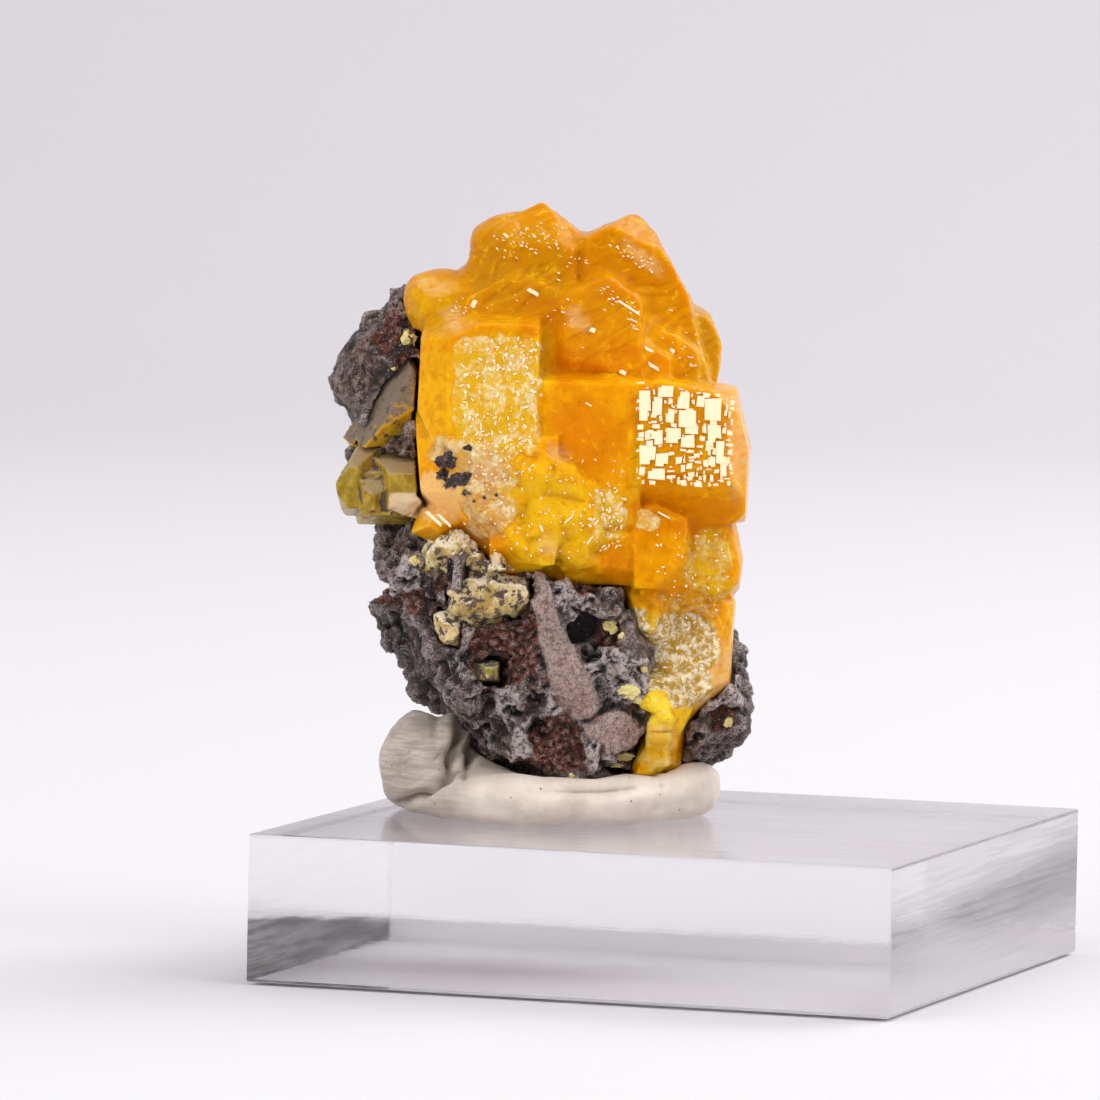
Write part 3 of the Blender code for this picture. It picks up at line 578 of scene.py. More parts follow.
crystal_mesh = fine_skin("main_crystals", 0.175)
points = places(crystal_mesh)
upper = soft_step(points[:, 2], 29.5, 31.0) * (1.0 - patches(points, [(-4.4, 29.0, 4.8, 4.8, 0)]))
knob = soft_step(-points[:, 0], 6.4, 7.6) * soft_step(points[:, 2], 32.4, 33.6)
knob = knob * soft_step(points[:, 1], -4.5, -3.0)
softened = patches(points, [(2.5, 33.0, 3.4, 3.9, 0), (-5.8, 38.6, 1.6, 1.6, 0)], 0.2)
ease(crystal_mesh, 3, 1.0, 0.5)
ease(crystal_mesh, 26, upper, 0.10 * upper)
ease(crystal_mesh, 50, 0.6 * softened, 0.9 * softened)
rounded(crystal_mesh, np.array([-8.2, 1.0, 34.6]), np.array([2.6, 3.2, 2.5]), 0.8 * knob)
push(crystal_mesh, 0.4 * patches(places(crystal_mesh), [(-4.8, 39.8, 1.5, 1.3, 0)], 0.6))
points = places(crystal_mesh)
facing = -normals(crystal_mesh)[:, 1]
drawn = wandered(wandered(points, 1.6, 0.5), 0.5, 0.25)
etched_face = patches(drawn, [(-4.2, 29.2, 2.9, 4.0, 0)], 0.10, 9.0)
etched = np.maximum(etched_face, patches(drawn, [(3.6, 21.0, 1.1, 1.7, 0), (6.3, 20.6, 0.9, 0.7, 0)]))
# Painted reflection: a low facet on the left, painted beige as if it returned the lit surroundings.
facet_reflection = patches(drawn, [(-7.9, 22.1, 1.6, 1.7, 0)], 0.15)
sandy = patches(drawn, [(-5.0, 23.9, 1.9, 1.7, 0), (-4.8, 21.4, 1.6, 1.9, 0), (-7.4, 25.2, 1.4, 0.7, 0)])
sandy = sandy * (1.0 - facet_reflection)
jumbled = patches(drawn, [(-0.8, 21.6, 2.9, 3.4, 20), (0.8, 18.8, 2.4, 2.2, 0)])
bubbly = patches(drawn, [(10.4, 17.6, 1.9, 2.6, 0), (9.0, 14.4, 2.8, 1.6, 0)])
sulphur = patches(drawn, [(7.1, 7.9, 1.1, 1.4, 0)])
frosted = patches(drawn, [(8.6, 11.2, 2.4, 3.1, -14), (5.6, 13.4, 0.9, 1.5, 0), (6.2, 10.4, 1.2, 0.8, 0)])
frosted = frosted * (1.0 - sulphur)
veined = patches(drawn, [(7.0, 6.2, 1.7, 3.6, 0)])
mosaic_face = patches(points, [(8.5, 26.4, 3.2, 3.5, 0)], 0.08) * soft_step(-points[:, 1], 7.6, 8.4)
lemon = patches(drawn, [
    (-0.6, 21.0, 3.2, 3.8, 20), (7.2, 8.4, 1.1, 1.2, 0), (7.0, 4.2, 1.0, 1.2, 0), (6.0, 13.8, 1.0, 1.4, 0),
    (-8.6, 35.2, 1.6, 1.2, 0), (5.2, 24.4, 0.5, 2.4, 0), (-1.2, 31.8, 1.0, 2.0, 0), (10.6, 17.6, 1.4, 2.2, 0),
    (-4.4, 29.2, 3.0, 4.2, 0), (3.6, 21.0, 1.1, 1.9, 0), (0.5, 24.6, 1.3, 0.8, 0), (8.6, 7.4, 0.8, 1.2, 0),
    (6.8, 5.0, 1.2, 2.0, 0),
])
lemon = np.maximum(lemon, 0.4 * patches(drawn, [(-8.4, 29.2, 1.1, 3.6, 0)]))
olive = patches(drawn, [
    (-3.0, 37.4, 3.4, 2.8, 0), (9.9, 32.6, 1.4, 3.2, 0), (9.0, 10.6, 2.8, 3.6, 0), (-8.8, 34.6, 1.8, 1.4, 0),
])
# Deep orange zones; the ones in the undercut below the middle crystal and in the gap under the right crown
# are painted shade.
deep_and_shaded = patches(drawn, [
    (1.2, 31.0, 1.8, 0.9, 0), (4.4, 32.0, 1.2, 0.8, 0), (3.6, 36.4, 2.0, 1.0, 0), (8.6, 21.4, 3.9, 1.5, 0),
    (1.8, 26.4, 2.2, 2.4, 0), (4.0, 17.4, 0.9, 2.0, 0), (8.6, 15.2, 2.2, 1.0, 0), (-5.2, 19.6, 1.8, 1.2, 20),
    (-1.2, 34.6, 1.6, 1.0, 0),
])
haze = patches(drawn, [
    (11.2, 9.6, 0.8, 2.4, -14), (-8.6, 36.0, 1.2, 0.5, 0), (5.7, 38.2, 1.5, 0.4, -40),
    (1.2, 34.2, 0.6, 0.8, 20), (-7.4, 34.0, 0.6, 0.6, 0), (12.2, 25.6, 0.7, 3.0, 0),
    (-0.6, 19.0, 0.6, 0.7, 0), (-5.2, 24.0, 1.6, 1.2, 20), (0.2, 25.4, 0.9, 0.4, -20),
    (6.4, 10.6, 0.9, 0.7, 0), (7.2, 6.4, 0.9, 0.7, 0),
], 0.45)
relief = 0.14 * upper * (shingles(points, 3.0, -30.0, 0.30, 2.0) - 0.4)
relief += 0.04 * upper * blocky(points, 0.8, 12)
relief += (0.030 * upper + 0.008) * (shingles(points + 11.0, 1.3, -27.0, 1.1, 2.4) - 0.4)
relief += (0.05 * upper + 0.02) * cloud(points, 2.2, 2)
small, large = blocky(points, 0.6, 3), blocky(points, 2.3, 4)
small, large = small - small.mean(), large - large.mean()
slanted = shingles(points + 5.0, 0.8, 62.0, 0.8, 2.0) - 0.4
relief += (0.12 * etched + 0.16 * sandy + 0.14 * veined) * small + (0.10 * etched + 0.08 * sandy) * slanted
relief += jumbled * (1.50 * large + 0.08 * small) + veined * 1.1 * large
relief += etched * 0.10 * cloud(points, 1.3, 2) + 0.35 * sandy * cloud(points, 2.6, 2)
relief += bubbly * (0.26 * cloud(points, 0.8, 2) + 0.08 * small)
relief += frosted * (0.16 * blocky(points, 0.5, 5) + 0.10 * cloud(points, 1.2, 2))
relief = relief * (1.0 - mosaic_face) - 0.05 * mosaic_face
push(crystal_mesh, np.clip(relief, -0.8, 0.5) * (0.35 + 0.65 * soft_step(facing, -0.2, 0.3)))
on_crystals = lies_on(crystal_mesh)
stands = standing_out(crystal_mesh, 16)
rough = np.clip(etched + sandy + 0.35 * jumbled + 0.5 * bubbly + 0.5 * veined, 0.0, 1.0) * (1.0 - sulphur)
for name, mask in (
    ("rough", rough), ("frosted", frosted), ("lemon", lemon), ("olive", olive), ("deep_and_shaded", deep_and_shaded),
    ("haze", haze), ("channels", mosaic_face), ("sandy", sandy), ("edge", stands / 0.20),
    ("crease", -stands / 0.25), ("crown", soft_step(points[:, 2], 29.0, 38.0)), ("sulphur", sulphur),
    ("facet_reflection", facet_reflection),
):
    paint(crystal_mesh, name, mask)

GLOW = dict(
    Subsurface_Radius=(1.0, 0.7, 0.25), Subsurface_Scale=0.9 * MM, Specular_Tint=(1.0, 0.72, 0.30),
)
finish = Finish("amber_mimetite")
where = finish.place()
veil = finish.grain(where, 0.35, 6.0, 0.62, 0.5)
thread = finish.grain(finish.stretched(where, (0.0, 0.5, 0.0), (0.6, 0.6, 2.2)), 1.6, 6.0, 0.7)
fine = finish.grain(where, 5.5, 5.0, 0.7)
bits = finish.grain(where, 2.4, 6.0, 0.75)
clumps = finish.grain(where, 1.0, 9.0, 0.78)
rough = (finish.mask("rough") + 0.5 * (thread - 0.5)).between(0.3, 0.7)
frost = (finish.mask("frosted") + 0.7 * (thread - 0.5)).between(0.35, 0.65)
colour = finish.mix(veil.between(0.36, 0.64), (0.76, 0.285, 0.001), (0.86, 0.39, 0.002))
colour = finish.mix((finish.mask("olive") * (0.2 + veil)).math("MINIMUM", 1.0), colour, (0.60, 0.31, 0.003))
lemony = (finish.mask("lemon") * (0.35 + thread)).math("MINIMUM", 1.0)
colour = finish.mix(lemony, colour, (0.90, 0.54, 0.008))
# Deep orange zones, partly painted shade.
colour = finish.mix(finish.mask("deep_and_shaded") * (0.2 + 0.8 * veil), colour, (0.72, 0.215, 0.001))
colour = finish.mix(finish.mask("crown") * 0.6, colour, (0.52, 0.20, 0.001))
colour = finish.mix(finish.mask("sulphur") * 0.9, colour, (0.98, 0.72, 0.06))
# Random flecks: the yellow ones are painted light, like caustics in the crystal; the others darken it.
caustic_flecks = finish.grain(where, 1.3, 6.0, 0.7, 0.6)
colour = finish.mix(caustic_flecks.between(0.50, 0.36) * 0.5, colour, (0.60, 0.19, 0.001))
colour = finish.mix(caustic_flecks.between(0.56, 0.68) * 0.6, colour, (0.95, 0.58, 0.010))
# Painted light: edges that stand out are painted yellower, as if lit through their thin crystal.
colour = finish.mix(finish.mask("edge") * (0.22 - 0.20 * finish.mask("crown")), colour, (0.92, 0.56, 0.02))
# Painted shade: creases and junctions between crystals are painted deeper orange.
colour = finish.mix(finish.mask("crease") * 0.55, colour, (0.50, 0.13, 0.001))
colour = finish.mix(finish.mask("haze") * thread.between(0.30, 0.60) * 0.6, colour, (0.80, 0.50, 0.21))
colour = finish.mix(finish.mask("sandy") * bits.between(0.35, 0.60) * 0.7, colour, (0.70, 0.47, 0.22))
# Painted reflection on the low left facet.
facet_reflection_colour = finish.mix(fine.between(0.3, 0.7), (0.80, 0.47, 0.15), (0.92, 0.57, 0.22))
colour = finish.mix(finish.mask("facet_reflection") * 0.9, colour, facet_reflection_colour)
colour = finish.mix(rough * (1.0 - finish.mask("sandy")) * 0.6, colour, (0.98, 0.56, 0.02))
# Pale clumps on the etched faces: partly their frosted surface, partly painted highlight.
white_and_highlight = (rough * clumps.between(0.46, 0.60)).math("MINIMUM", 1.0)
colour = finish.mix(white_and_highlight * 0.75, colour, (1.0, 0.80, 0.40))
# The frosted plate's pale rime: partly its frosted surface, partly painted sparkle.
rime = finish.grain(where, 1.9, 9.0, 0.78)
rime_and_sparkle = finish.mix(rime.between(0.44, 0.58), (0.46, 0.27, 0.010), (0.95, 0.88, 0.66))
colour = finish.mix(frost * 0.85, colour, rime_and_sparkle)
flaws = finish.grain(where, 2.2, 2.0, 0.5).between(0.74, 0.78)
colour = finish.mix(flaws * 0.6, colour, (0.25, 0.08, 0.01))
normal = finish.bump(thread, 0.10, 0.4, finish.bump(fine, 0.03, 0.5))
normal = finish.bump(clumps * rough, 0.40, 0.9, normal)
roughness = 0.16 + 0.12 * fine + 0.08 * rough + 0.35 * finish.mask("channels")
sound = finish.surface(
    colour, roughness, normal, IOR=1.6, Specular_IOR_Level=0.09, Subsurface_Weight=0.85, **GLOW
)
tilted = finish.bump(finish.facets(where, 2.2), 0.6, 1.0, finish.bump(finish.facets(where, 5.0), 0.45, 0.9))
sugary = finish.surface(colour, 0.14 + 0.1 * fine, tilted, IOR=2.0)
sugar = (white_and_highlight * 0.8 + frost * 0.8) * finish.grain(where, 2.0, 5.0, 0.7).between(0.42, 0.56)
crystal_mesh.materials.clear()
crystal_mesh.materials.append(
    finish.done(finish.node("ShaderNodeMixShader", None, sugar.math("MINIMUM", 1.0), sound, sugary))
)
add_piece(crystal_mesh, "amber_crystals", "amber_mimetite", "main_crystals", at=specimen)


# The mosaic on the right-hand cube. The real face grew as a patchwork of thin square-cornered plates, all
# level and mirror-bright, with amber showing in the channels between them.
def heading(way_round, way_up):
    """A unit vector: way_round 0 faces the viewer and 90 the right, in degrees."""
    turn, rise = math.radians(way_round), math.radians(way_up)
    return Vector((math.sin(turn) * math.cos(rise), -math.cos(turn) * math.cos(rise), math.sin(rise)))


def add_plate(bm, top, foot):
    """Adds a flat plate that reaches from one outline down to another, both lists of places in mm."""
    top, foot = [[bm.verts.new(place * MM) for place in outline] for outline in (top, foot)]
    bm.faces.new(top)
    bm.faces.new(list(reversed(foot)))
    for index in range(len(top)):
        after = (index + 1) % len(top)
        bm.faces.new((top[index], foot[index], foot[after], top[after]))


cube_middle, cube_out, cube_level = Vector((9.0, -5.0, 26.0)), heading(-8.0, 3.0), 4.5
PLATES_UP = 0.25
large_plates = [
    (5.4, 6.2, 27.4, 29.4), (6.3, 7.0, 27.8, 29.0), (6.7, 7.7, 29.0, 29.8), (8.0, 8.8, 28.3, 29.4),
    (8.1, 9.3, 27.0, 28.1), (9.8, 11.0, 27.5, 29.0), (10.1, 11.0, 26.0, 27.2), (5.3, 5.8, 26.7, 27.1),
    (6.5, 7.1, 25.8, 26.8), (7.3, 8.3, 25.9, 26.9), (8.3, 9.2, 25.6, 26.5), (5.5, 6.6, 24.4, 25.7),
    (6.6, 7.5, 24.3, 25.2), (6.1, 7.3, 23.4, 24.2), (7.2, 7.8, 27.3, 28.2), (9.3, 9.8, 28.4, 29.2),
    (8.6, 9.4, 26.6, 27.1), (5.9, 6.4, 25.2, 26.0), (10.7, 11.2, 24.6, 26.1), (11.0, 11.4, 23.8, 24.8),
]
lots = np.random.default_rng(5)
plates = list(large_plates)
CHANNEL, TRIES = 0.04, 3000
for _ in range(TRIES):
    x, z = lots.uniform(5.2, 11.7), lots.uniform(23.0, 30.0)
    x1, z1 = x + lots.uniform(0.12, 0.55), z + lots.uniform(0.12, 0.55)
    apart = [
        x > right + CHANNEL or x1 < left - CHANNEL or z > upper + CHANNEL or z1 < lower - CHANNEL
        for left, right, lower, upper in plates
    ]
    busy = 0.8 if (z > 25.6 or x > 8.0) and z < 29.4 else 0.25
    free = all(apart) or lots.random() < 0.02
    if free and lots.random() < busy and x1 < 11.9 and z1 < 30.0 - 0.12 * (x - 5.0):
        plates.append((x, x1, z, z1))
bm = bmesh.new()
for x0, x1, z0, z1 in plates:
    outline = [(x0, z0), (x1, z0), (x1, z1), (x0, z1)]
    if x1 - x0 > 0.5 and lots.random() < 0.7:
        bite_x, bite_z = lots.uniform(0.2, 0.45) * (x1 - x0), lots.uniform(0.2, 0.4) * (z1 - z0)
        if lots.integers(0, 2):
            outline[1:2] = [(x1 - bite_x, z0), (x1 - bite_x, z0 + bite_z), (x1, z0 + bite_z)]
        else:
            outline[3:4] = [(x0 + bite_x, z1), (x0 + bite_x, z1 - bite_z), (x0, z1 - bite_z)]
    proud = lots.uniform(0.09, 0.14) if x1 - x0 > 0.55 else lots.uniform(0.04, 0.12)
    wobble = cube_out + Vector((lots.uniform(-1, 1), 0.0, lots.uniform(-1, 1))) * 0.012
    top, foot = [], []
    for x, z in outline:
        x, z = x + lots.uniform(-0.06, 0.06), z + lots.uniform(-0.06, 0.06) + PLATES_UP
        across, up = x - cube_middle.x, z - cube_middle.z
        depth = (cube_level - cube_out.x * across - cube_out.z * up) / -cube_out.y
        corner = Vector((x, cube_middle.y - depth, z))
        lean = (wobble.x - cube_out.x) * (x - x0) + (wobble.z - cube_out.z) * (z - z0)
        top.append(corner + cube_out * (proud - lean))
        foot.append(corner - cube_out * 0.25)
    add_plate(bm, top, foot)
bmesh.ops.recalc_face_normals(bm, faces=bm.faces)
bmesh.ops.bevel(bm, geom=bm.edges[:], offset=0.018 * MM, segments=1, affect="EDGES")
mosaic_mesh = bpy.data.meshes.new("mosaic_plates")
bm.to_mesh(mosaic_mesh)
bm.free()
finish = Finish("mirror_bright_plates")
where = finish.place()
fine = finish.grain(where, 3.0, 4.0)
mosaic_mesh.materials.append(finish.done(finish.surface(
    finish.mix(fine, (0.96, 0.56, 0.24), (0.98, 0.68, 0.40)), 0.12 + 0.10 * fine,
    finish.bump(fine, 0.012, 0.5), IOR=2.1, Specular_Tint=(1.0, 0.86, 0.80),
)))
add_piece(mosaic_mesh, "mosaic_plates", "amber_mimetite", at=specimen, smooth=False)


# The glints. On the real crystals they are the bright fronts of growth steps: slivers of flat crystal that
# lie level with the mosaic's plates and slant down to the right across the upper crystals.
named_glints = [
    (-8.3, 20.6, 1.5, 0.22, -42), (-7.6, 20.5, 1.3, 0.20, -42),
    (-1.9, 35.9, 0.9, 0.28, -30), (4.6, 35.1, 1.9, 0.16, -32), (6.0, 32.2, 0.8, 0.3, -30),
    (6.2, 31.2, 1.3, 0.26, -30), (7.6, 32.1, 0.4, 0.35, -30), (4.3, 30.7, 0.5, 0.3, -30),
    (2.2, 33.5, 0.4, 0.35, -30), (-5.9, 35.0, 0.6, 0.35, 60), (-3.8, 39.6, 0.5, 0.18, -40),
    (2.0, 28.6, 0.5, 0.10, -30), (-1.0, 20.3, 0.5, 0.16, -70), (0.8, 20.9, 0.7, 0.12, 40),
    (2.2, 19.4, 0.9, 0.12, 55), (2.6, 20.6, 0.8, 0.10, 50), (7.0, 21.3, 1.6, 0.12, -28),
]
glints = list(named_glints)
crests = [
    (-4.2, 39.0, -0.6, 39.8, 0.55, 60), (-0.6, 39.0, 1.6, 37.8, 0.3, 14), (3.6, 39.0, 6.6, 37.4, 0.25, 34),
    (2.7, 36.3, 5.2, 34.8, 0.18, 18), (4.8, 34.6, 5.7, 32.4, 0.2, 16), (-8.4, 34.6, -5.4, 34.4, 0.5, 22),
    (7.0, 34.0, 9.4, 31.0, 0.7, 22), (-2.4, 36.4, 1.6, 33.4, 1.0, 18), (6.4, 30.2, 10.0, 29.6, 0.5, 14),
]
for x0, z0, x1, z1, spread, number in crests:
    for _ in range(number):
        share = lots.random()
        x = x0 + share * (x1 - x0) + spread * lots.normal()
        z = z0 + share * (z1 - z0) + spread * lots.normal()
        glints.append((x, z, lots.uniform(0.06, 0.26), lots.uniform(0.04, 0.12), -30 + lots.uniform(-25, 25)))
fields = [
    (-6.6, -1.2, 25.6, 33.0, 190, 0.34), (-6.6, 4.6, 18.0, 25.0, 130, 0.26),
    (6.8, 11.8, 7.6, 20.0, 150, 0.28), (2.2, 4.6, 18.6, 23.0, 70, 0.34), (-5.0, -2.4, 23.6, 26.0, 40, 0.3),
]
for x0, x1, z0, z1, number, longest in fields:
    for _ in range(number):
        size = lots.uniform(0.06, longest), lots.uniform(0.05, 0.5 * longest)
        glints.append((lots.uniform(x0, x1), lots.uniform(z0, z1), *size, lots.uniform(-90, 90)))
bm = bmesh.new()
mirror_way = heading(-8.5, 3.2)
for x, z, length, width, lean in glints:
    place, out = on_crystals(x, z)
    if place is None or out.dot(mirror_way) < 0.55:
        continue
    face = (mirror_way + Vector((lots.uniform(-1, 1), 0.0, lots.uniform(-1, 1))) * 0.03).normalized()
    side = Vector((math.cos(math.radians(lean)), 0.0, math.sin(math.radians(lean))))
    side = (side - face * side.dot(face)).normalized()
    over = face.cross(side)
    corners = [(-0.5, -0.5), (0.5, -0.35), (0.42, 0.5), (-0.4, 0.42)]
    proud = 0.03 + 0.10 * width
    outline = [place + side * a * length + over * b * width for a, b in corners]
    add_plate(bm, [spot + face * proud for spot in outline], [spot - face * 0.3 for spot in outline])
bmesh.ops.recalc_face_normals(bm, faces=bm.faces)
glint_mesh = bpy.data.meshes.new("growth_glints")
bm.to_mesh(glint_mesh)
bm.free()
glint_mesh.materials.append(mosaic_mesh.materials[0])
add_piece(glint_mesh, "growth_glints", "amber_mimetite", at=specimen, smooth=False)


# The smaller crystals. The real ones are the same mineral, paler and dirtier: an olive pair on the left
# ledge, a blade crusted with rock dust, and a thin cream crust down the front of the rock.
def small_mimetite(name, low, high, roughness, dust, dust_share, stone_share=0.0):
    """Translucent mimetite in two near colours, dusty on its upper faces, stained with rock in places and
    painted pale on masked faces, partly as painted highlight.
    """
    finish = Finish(name)
    where = finish.place()
    veil = finish.grain(where, 0.8, 5.0, 0.6, 0.3)
    fine = finish.grain(where, 5.0, 5.0, 0.65)
    colour = finish.mix(veil.between(0.35, 0.65), low, high)
    up = finish.node("ShaderNodeNewGeometry").out("Normal")
    upward = finish.node("ShaderNodeSeparateXYZ", None, up).out("Z")
    covered = (0.6 * upward + veil + 0.8 * (fine - 0.5)).between(1.05 - dust_share, 1.25 - dust_share)
    colour = finish.mix(covered, colour, dust)
    stained = finish.grain(where, 1.1, 7.0, 0.7) + 0.25 * finish.mask("crease")
    stone = finish.mix(fine, (0.03, 0.02, 0.02), (0.22, 0.15, 0.14))
    colour = finish.mix(stained.between(0.70 - stone_share, 0.74 - stone_share), colour, stone)
    # Pale on the masked faces, partly painted highlight.
    white_and_highlight = finish.mix(veil, (0.60, 0.43, 0.22), (0.88, 0.74, 0.56))
    colour = finish.mix(finish.mask("white_and_highlight"), colour, white_and_highlight)
    facets = finish.facets(where, 2.2)
    normal = finish.bump(facets, 0.35, 0.5, finish.bump(fine, 0.12, 0.7))
    return finish.done(finish.surface(
        colour, roughness + 0.35 * covered, normal,
        IOR=1.6, Specular_IOR_Level=0.35, Subsurface_Weight=0.6, **GLOW,
    ))


small_pieces = [
    ("left_crystals", "olive_crystals", "olive_mimetite", 0.14, small_mimetite(
        "olive_mimetite", (0.26, 0.17, 0.01), (0.50, 0.34, 0.05), 0.2, (0.40, 0.30, 0.16), 0.3, 0.08,
    )),
    ("blade_crystal", "crusted_blade", "crusted_mimetite", 0.14, small_mimetite(
        "crusted_mimetite", (0.55, 0.30, 0.01), (0.70, 0.46, 0.04), 0.25, (0.22, 0.17, 0.13), 0.6, 0.12,
    )),
    ("front_crust", "cream_crust", "pale_mimetite", 0.11, small_mimetite(
        "pale_mimetite", (0.42, 0.28, 0.08), (0.78, 0.64, 0.36), 0.3, (0.80, 0.70, 0.52), 0.4, 0.17,
    )),
    ("pocket_crystal", "pocket_tip", "olive_mimetite", 0.09, small_mimetite(
        "pocket_mimetite", (0.22, 0.17, 0.02), (0.42, 0.36, 0.12), 0.25, (0.5, 0.45, 0.3), 0.2, 0.22,
    )),
]
# Faces painted pale: on the left pair's end face and the bright tip in the crust this is a painted reflection
# and highlight of the light.
white_and_highlit_faces = [(-10.1, 21.0, 1.3, 1.1, 0), (-3.9, 18.1, 0.6, 1.0, 0), (-4.8, 9.9, 0.35, 0.35, 0)]
for node, name, slot, grain, material in small_pieces:
    mesh = fine_skin(node, grain)
    ease(mesh, 26 if node == "front_crust" else 0, 0.8, 0.8)
    points = places(mesh)
    if node == "front_crust":
        relief = 0.40 * cloud(points, 1.3, 4) + 0.30 * blocky(points, 0.8, 9) + 0.10 * blocky(points, 0.4, 8)
        push(mesh, np.clip(relief, -0.6, 0.35))
    else:
        push(mesh, 0.06 * cloud(points, 0.9, 4) + 0.08 * blocky(points, 0.55, 9))
    paint(mesh, "crease", -standing_out(mesh, 10) / 0.10)
    toward = soft_step(-normals(mesh)[:, 1], 0.55, 0.85)
    paint(mesh, "white_and_highlight", patches(points, white_and_highlit_faces, 0.08, 8.0) * toward)
    mesh.materials.clear()
    mesh.materials.append(material)
    add_piece(mesh, name, slot, node, at=specimen)


# The loose bits. On the real specimen they are crumbs of the matrix caught on the lower crystals, and crumbs
# of pale crust scattered over the rock, with a white chip near its foot.
def crumb_of(bm, place, width, height, depth, lean, seed):
    """Adds one angular crumb about a place, wider or taller as asked, its shape drawn from a seed."""
    made = bmesh.ops.create_icosphere(bm, subdivisions=3, radius=0.5)["verts"]
    turned = Matrix.Rotation(math.radians(lean), 3, "Y")
    for vert in made:
        way = vert.co.normalized()
        rough = 1.0 + 0.75 * noise.fractal(way * 1.6 + Vector((seed, 0.0, 0.0)), 0.8, 2.1, 3)
        shaped = Vector((vert.co.x * width, vert.co.y * depth, vert.co.z * height)) * rough
        vert.co = (place + turned @ shaped) * MM


dark_crumbs = [
    (-7.3, 24.7, 1.5, 0.95, -20), (-7.6, 23.6, 1.0, 0.8, 0), (-6.8, 23.3, 1.5, 0.8, -25),
    (-6.1, 25.5, 0.55, 0.4, 0), (-6.2, 22.5, 0.5, 0.4, 0), (-4.9, 22.2, 0.22, 0.2, 0),
    (-4.1, 22.4, 0.22, 0.18, 0), (-5.6, 21.9, 0.18, 0.18, 0),
]
pale_crumbs = [
    (3.9, 13.5, 0.9, 0.8, 0), (4.6, 12.9, 0.5, 0.4, 0), (5.1, 9.2, 1.1, 0.8, 0), (5.7, 8.6, 0.6, 0.7, 0),
    (9.8, 7.5, 1.3, 1.0, 20), (12.0, 6.7, 0.6, 0.7, 0), (4.6, 4.6, 1.9, 0.55, 12), (4.4, 3.9, 0.9, 0.3, 0),
    (-10.4, 32.3, 1.0, 0.9, 0), (-11.3, 30.2, 0.3, 0.25, 0), (-9.6, 17.6, 0.7, 0.5, 0),
    (-8.9, 16.9, 0.4, 0.3, 0), (-2.2, 4.0, 0.35, 0.3, 0), (1.4, 3.3, 0.4, 0.3, 0), (-7.6, 12.9, 0.5, 0.5, 0),
    (6.1, 10.6, 0.5, 0.4, 0),
]
crumb_sets = (
    ("rock_crumbs", "dark_ironstone", dark_crumbs, on_crystals, rock_mesh.materials[0]),
    ("crust_crumbs", "pale_mimetite", pale_crumbs, on_rock, bpy.data.materials["pale_mimetite"]),
)
for name, slot, crumbs, lie, material in crumb_sets:
    bm = bmesh.new()
    for seed, (x, z, width, height, lean) in enumerate(crumbs):
        place = lie(x, z)[0]
        if place:
            crumb_of(bm, place, width, height, 0.5 * min(width, height) + 0.15, lean, 3.7 * seed)
    mesh = bpy.data.meshes.new(name)
    bm.to_mesh(mesh)
    bm.free()
    mesh.materials.append(material)
    add_piece(mesh, name, slot, at=specimen, smooth=False)


# The floor and backdrop. They aren't part of the object: a pale sweep of card in the studio.
bm = bmesh.new()
profile = [(-0.9, 0.0)]
for step in range(13):
    turn = math.radians(90.0 * step / 12.0)
    profile.append((0.55 + 0.35 * math.sin(turn), 0.35 - 0.35 * math.cos(turn)))
profile.append((0.9, 1.6))
rows = []
for x in (-1.5, 1.5):
    rows.append([bm.verts.new((x, y, z - 0.0002)) for y, z in profile])
for near, far in zip(range(len(profile)), range(1, len(profile))):
    bm.faces.new((rows[0][near], rows[1][near], rows[1][far], rows[0][far]))
card_mesh = bpy.data.meshes.new("studio_card")
bm.to_mesh(card_mesh)
bm.free()
for polygon in card_mesh.polygons:
    polygon.use_smooth = True
finish = Finish("pale_card")
# Painted shade: the card is painted darker towards the back, for the light falling off across it.
far = finish.node("ShaderNodeSeparateXYZ", None, finish.place()).out("Y").between(100.0, 900.0)
greys = finish.mix(far, (0.72, 0.705, 0.72), (0.65, 0.62, 0.65))
card_mesh.materials.append(finish.done(finish.surface(greys, 0.8)))
card = bpy.data.objects.new("studio_card", card_mesh)
bpy.context.scene.collection.objects.link(card)
card.rotation_euler.z = TURN


# The lights. They aren't part of the object: a large soft light at the back right, a softbox beside the
# camera whose glare the mosaic and the etched faces return, and weak fills from the other sides.
def soft_light(name, way_round, way_up, distance, wide, tall, power, colour=(1.0, 1.0, 1.0)):
    """A rectangular light that looks at the specimen from a heading of the specimen's frame."""
    lamp = bpy.data.lights.new(name, "AREA")
    lamp.shape = "RECTANGLE"
    lamp.size = wide
    lamp.size_y = tall
    lamp.energy = power
    lamp.color = colour
    holder = bpy.data.objects.new(name, lamp)
    bpy.context.scene.collection.objects.link(holder)
    aim = specimen @ Vector((0.0, 0.0, 0.022))
    way = specimen.to_3x3() @ heading(way_round, way_up)
    holder.location = aim + way * distance
    holder.rotation_euler = (-way).to_track_quat("-Z", "Y").to_euler()


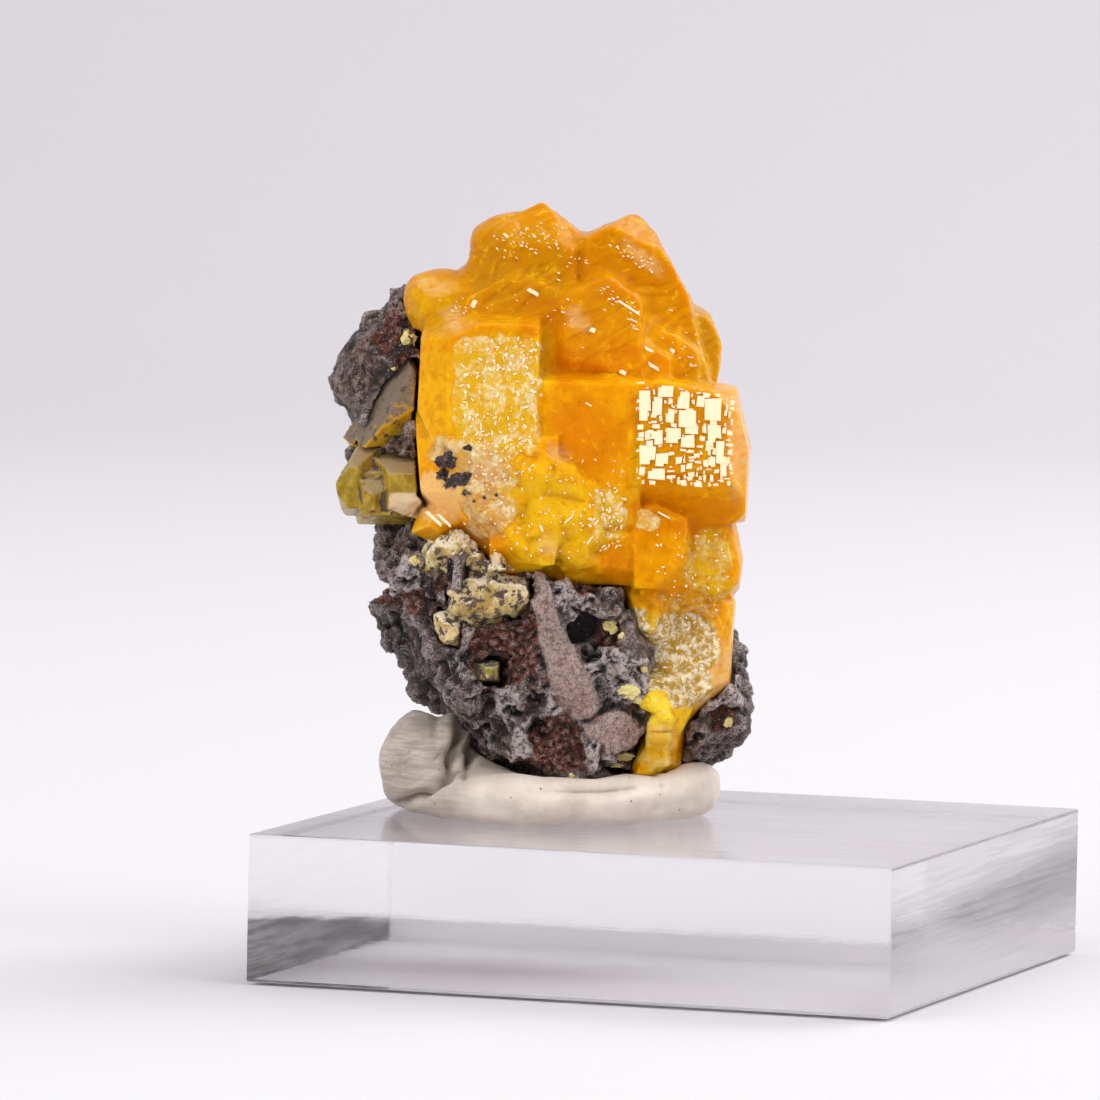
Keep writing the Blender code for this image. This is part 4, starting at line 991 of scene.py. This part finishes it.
soft_light("back_right_light", 128.0, 38.0, 0.75, 0.55, 0.55, 3.4)
soft_light("right_light", 62.0, 30.0, 0.8, 0.5, 0.6, 1.8)
soft_light("mosaic_softbox", -17.0, 2.0, 0.70, 0.16, 0.22, 0.48, (1.0, 0.94, 0.90))
soft_light("front_light", -38.0, 34.0, 0.9, 0.6, 0.6, 2.2)
soft_light("left_fill", -85.0, 30.0, 0.9, 0.7, 0.7, 1.0)
soft_light("top_light", 0.0, 80.0, 0.9, 0.8, 0.8, 2.0)
world = bpy.data.worlds.new("studio_air")
world.use_nodes = True
air = world.node_tree
path = air.nodes.new("ShaderNodeLightPath")
mirrored = air.nodes.new("ShaderNodeMath")
mirrored.operation = "MULTIPLY"
air.links.new(path.outputs["Is Glossy Ray"], mirrored.inputs[0])
air.links.new(path.outputs["Is Reflection Ray"], mirrored.inputs[1])
strength = air.nodes.new("ShaderNodeMapRange")
air.links.new(mirrored.outputs["Value"], strength.inputs["Value"])
strength.inputs["To Min"].default_value = 0.62
strength.inputs["To Max"].default_value = 0.06
air.links.new(strength.outputs["Result"], air.nodes["Background"].inputs["Strength"])
air.nodes["Background"].inputs["Color"].default_value = (0.93, 0.92, 0.96, 1.0)
bpy.context.scene.world = world
bpy.context.scene.view_settings.view_transform = "Standard"


# The camera. A long lens looks at the specimen from straight in front and a little above, and is tipped
# by about a degree, so that the block's front edge slopes down to the right.
FRAME_PIXELS = 1100.0
FOCAL_PIXELS = 11406.7
CAMERA_AWAY = 755.12
looked_at = Vector((-1.633, -22.5, 29.921))
camera_up, camera_tip = math.radians(4.35), math.radians(1.144)
level = math.cos(camera_up)
look_way = Vector((-math.sin(TURN) * level, math.cos(TURN) * level, -math.sin(camera_up)))
right_way = look_way.cross(Vector((0.0, 0.0, 1.0))).normalized()
up_way = right_way.cross(look_way)
tipped_right = math.cos(camera_tip) * right_way + math.sin(camera_tip) * up_way
tipped_up = math.cos(camera_tip) * up_way - math.sin(camera_tip) * right_way
lens = bpy.data.cameras.new("long_lens")
lens.sensor_width = 36.0
lens.lens = lens.sensor_width * FOCAL_PIXELS / FRAME_PIXELS
lens.clip_start = 0.01
lens.clip_end = 10.0
camera = bpy.data.objects.new("camera", lens)
bpy.context.scene.collection.objects.link(camera)
turned = Matrix((tipped_right, tipped_up, -look_way)).transposed().to_4x4()
turned.translation = looked_at * MM - look_way * CAMERA_AWAY * MM
camera.matrix_world = turned
bpy.context.scene.camera = camera
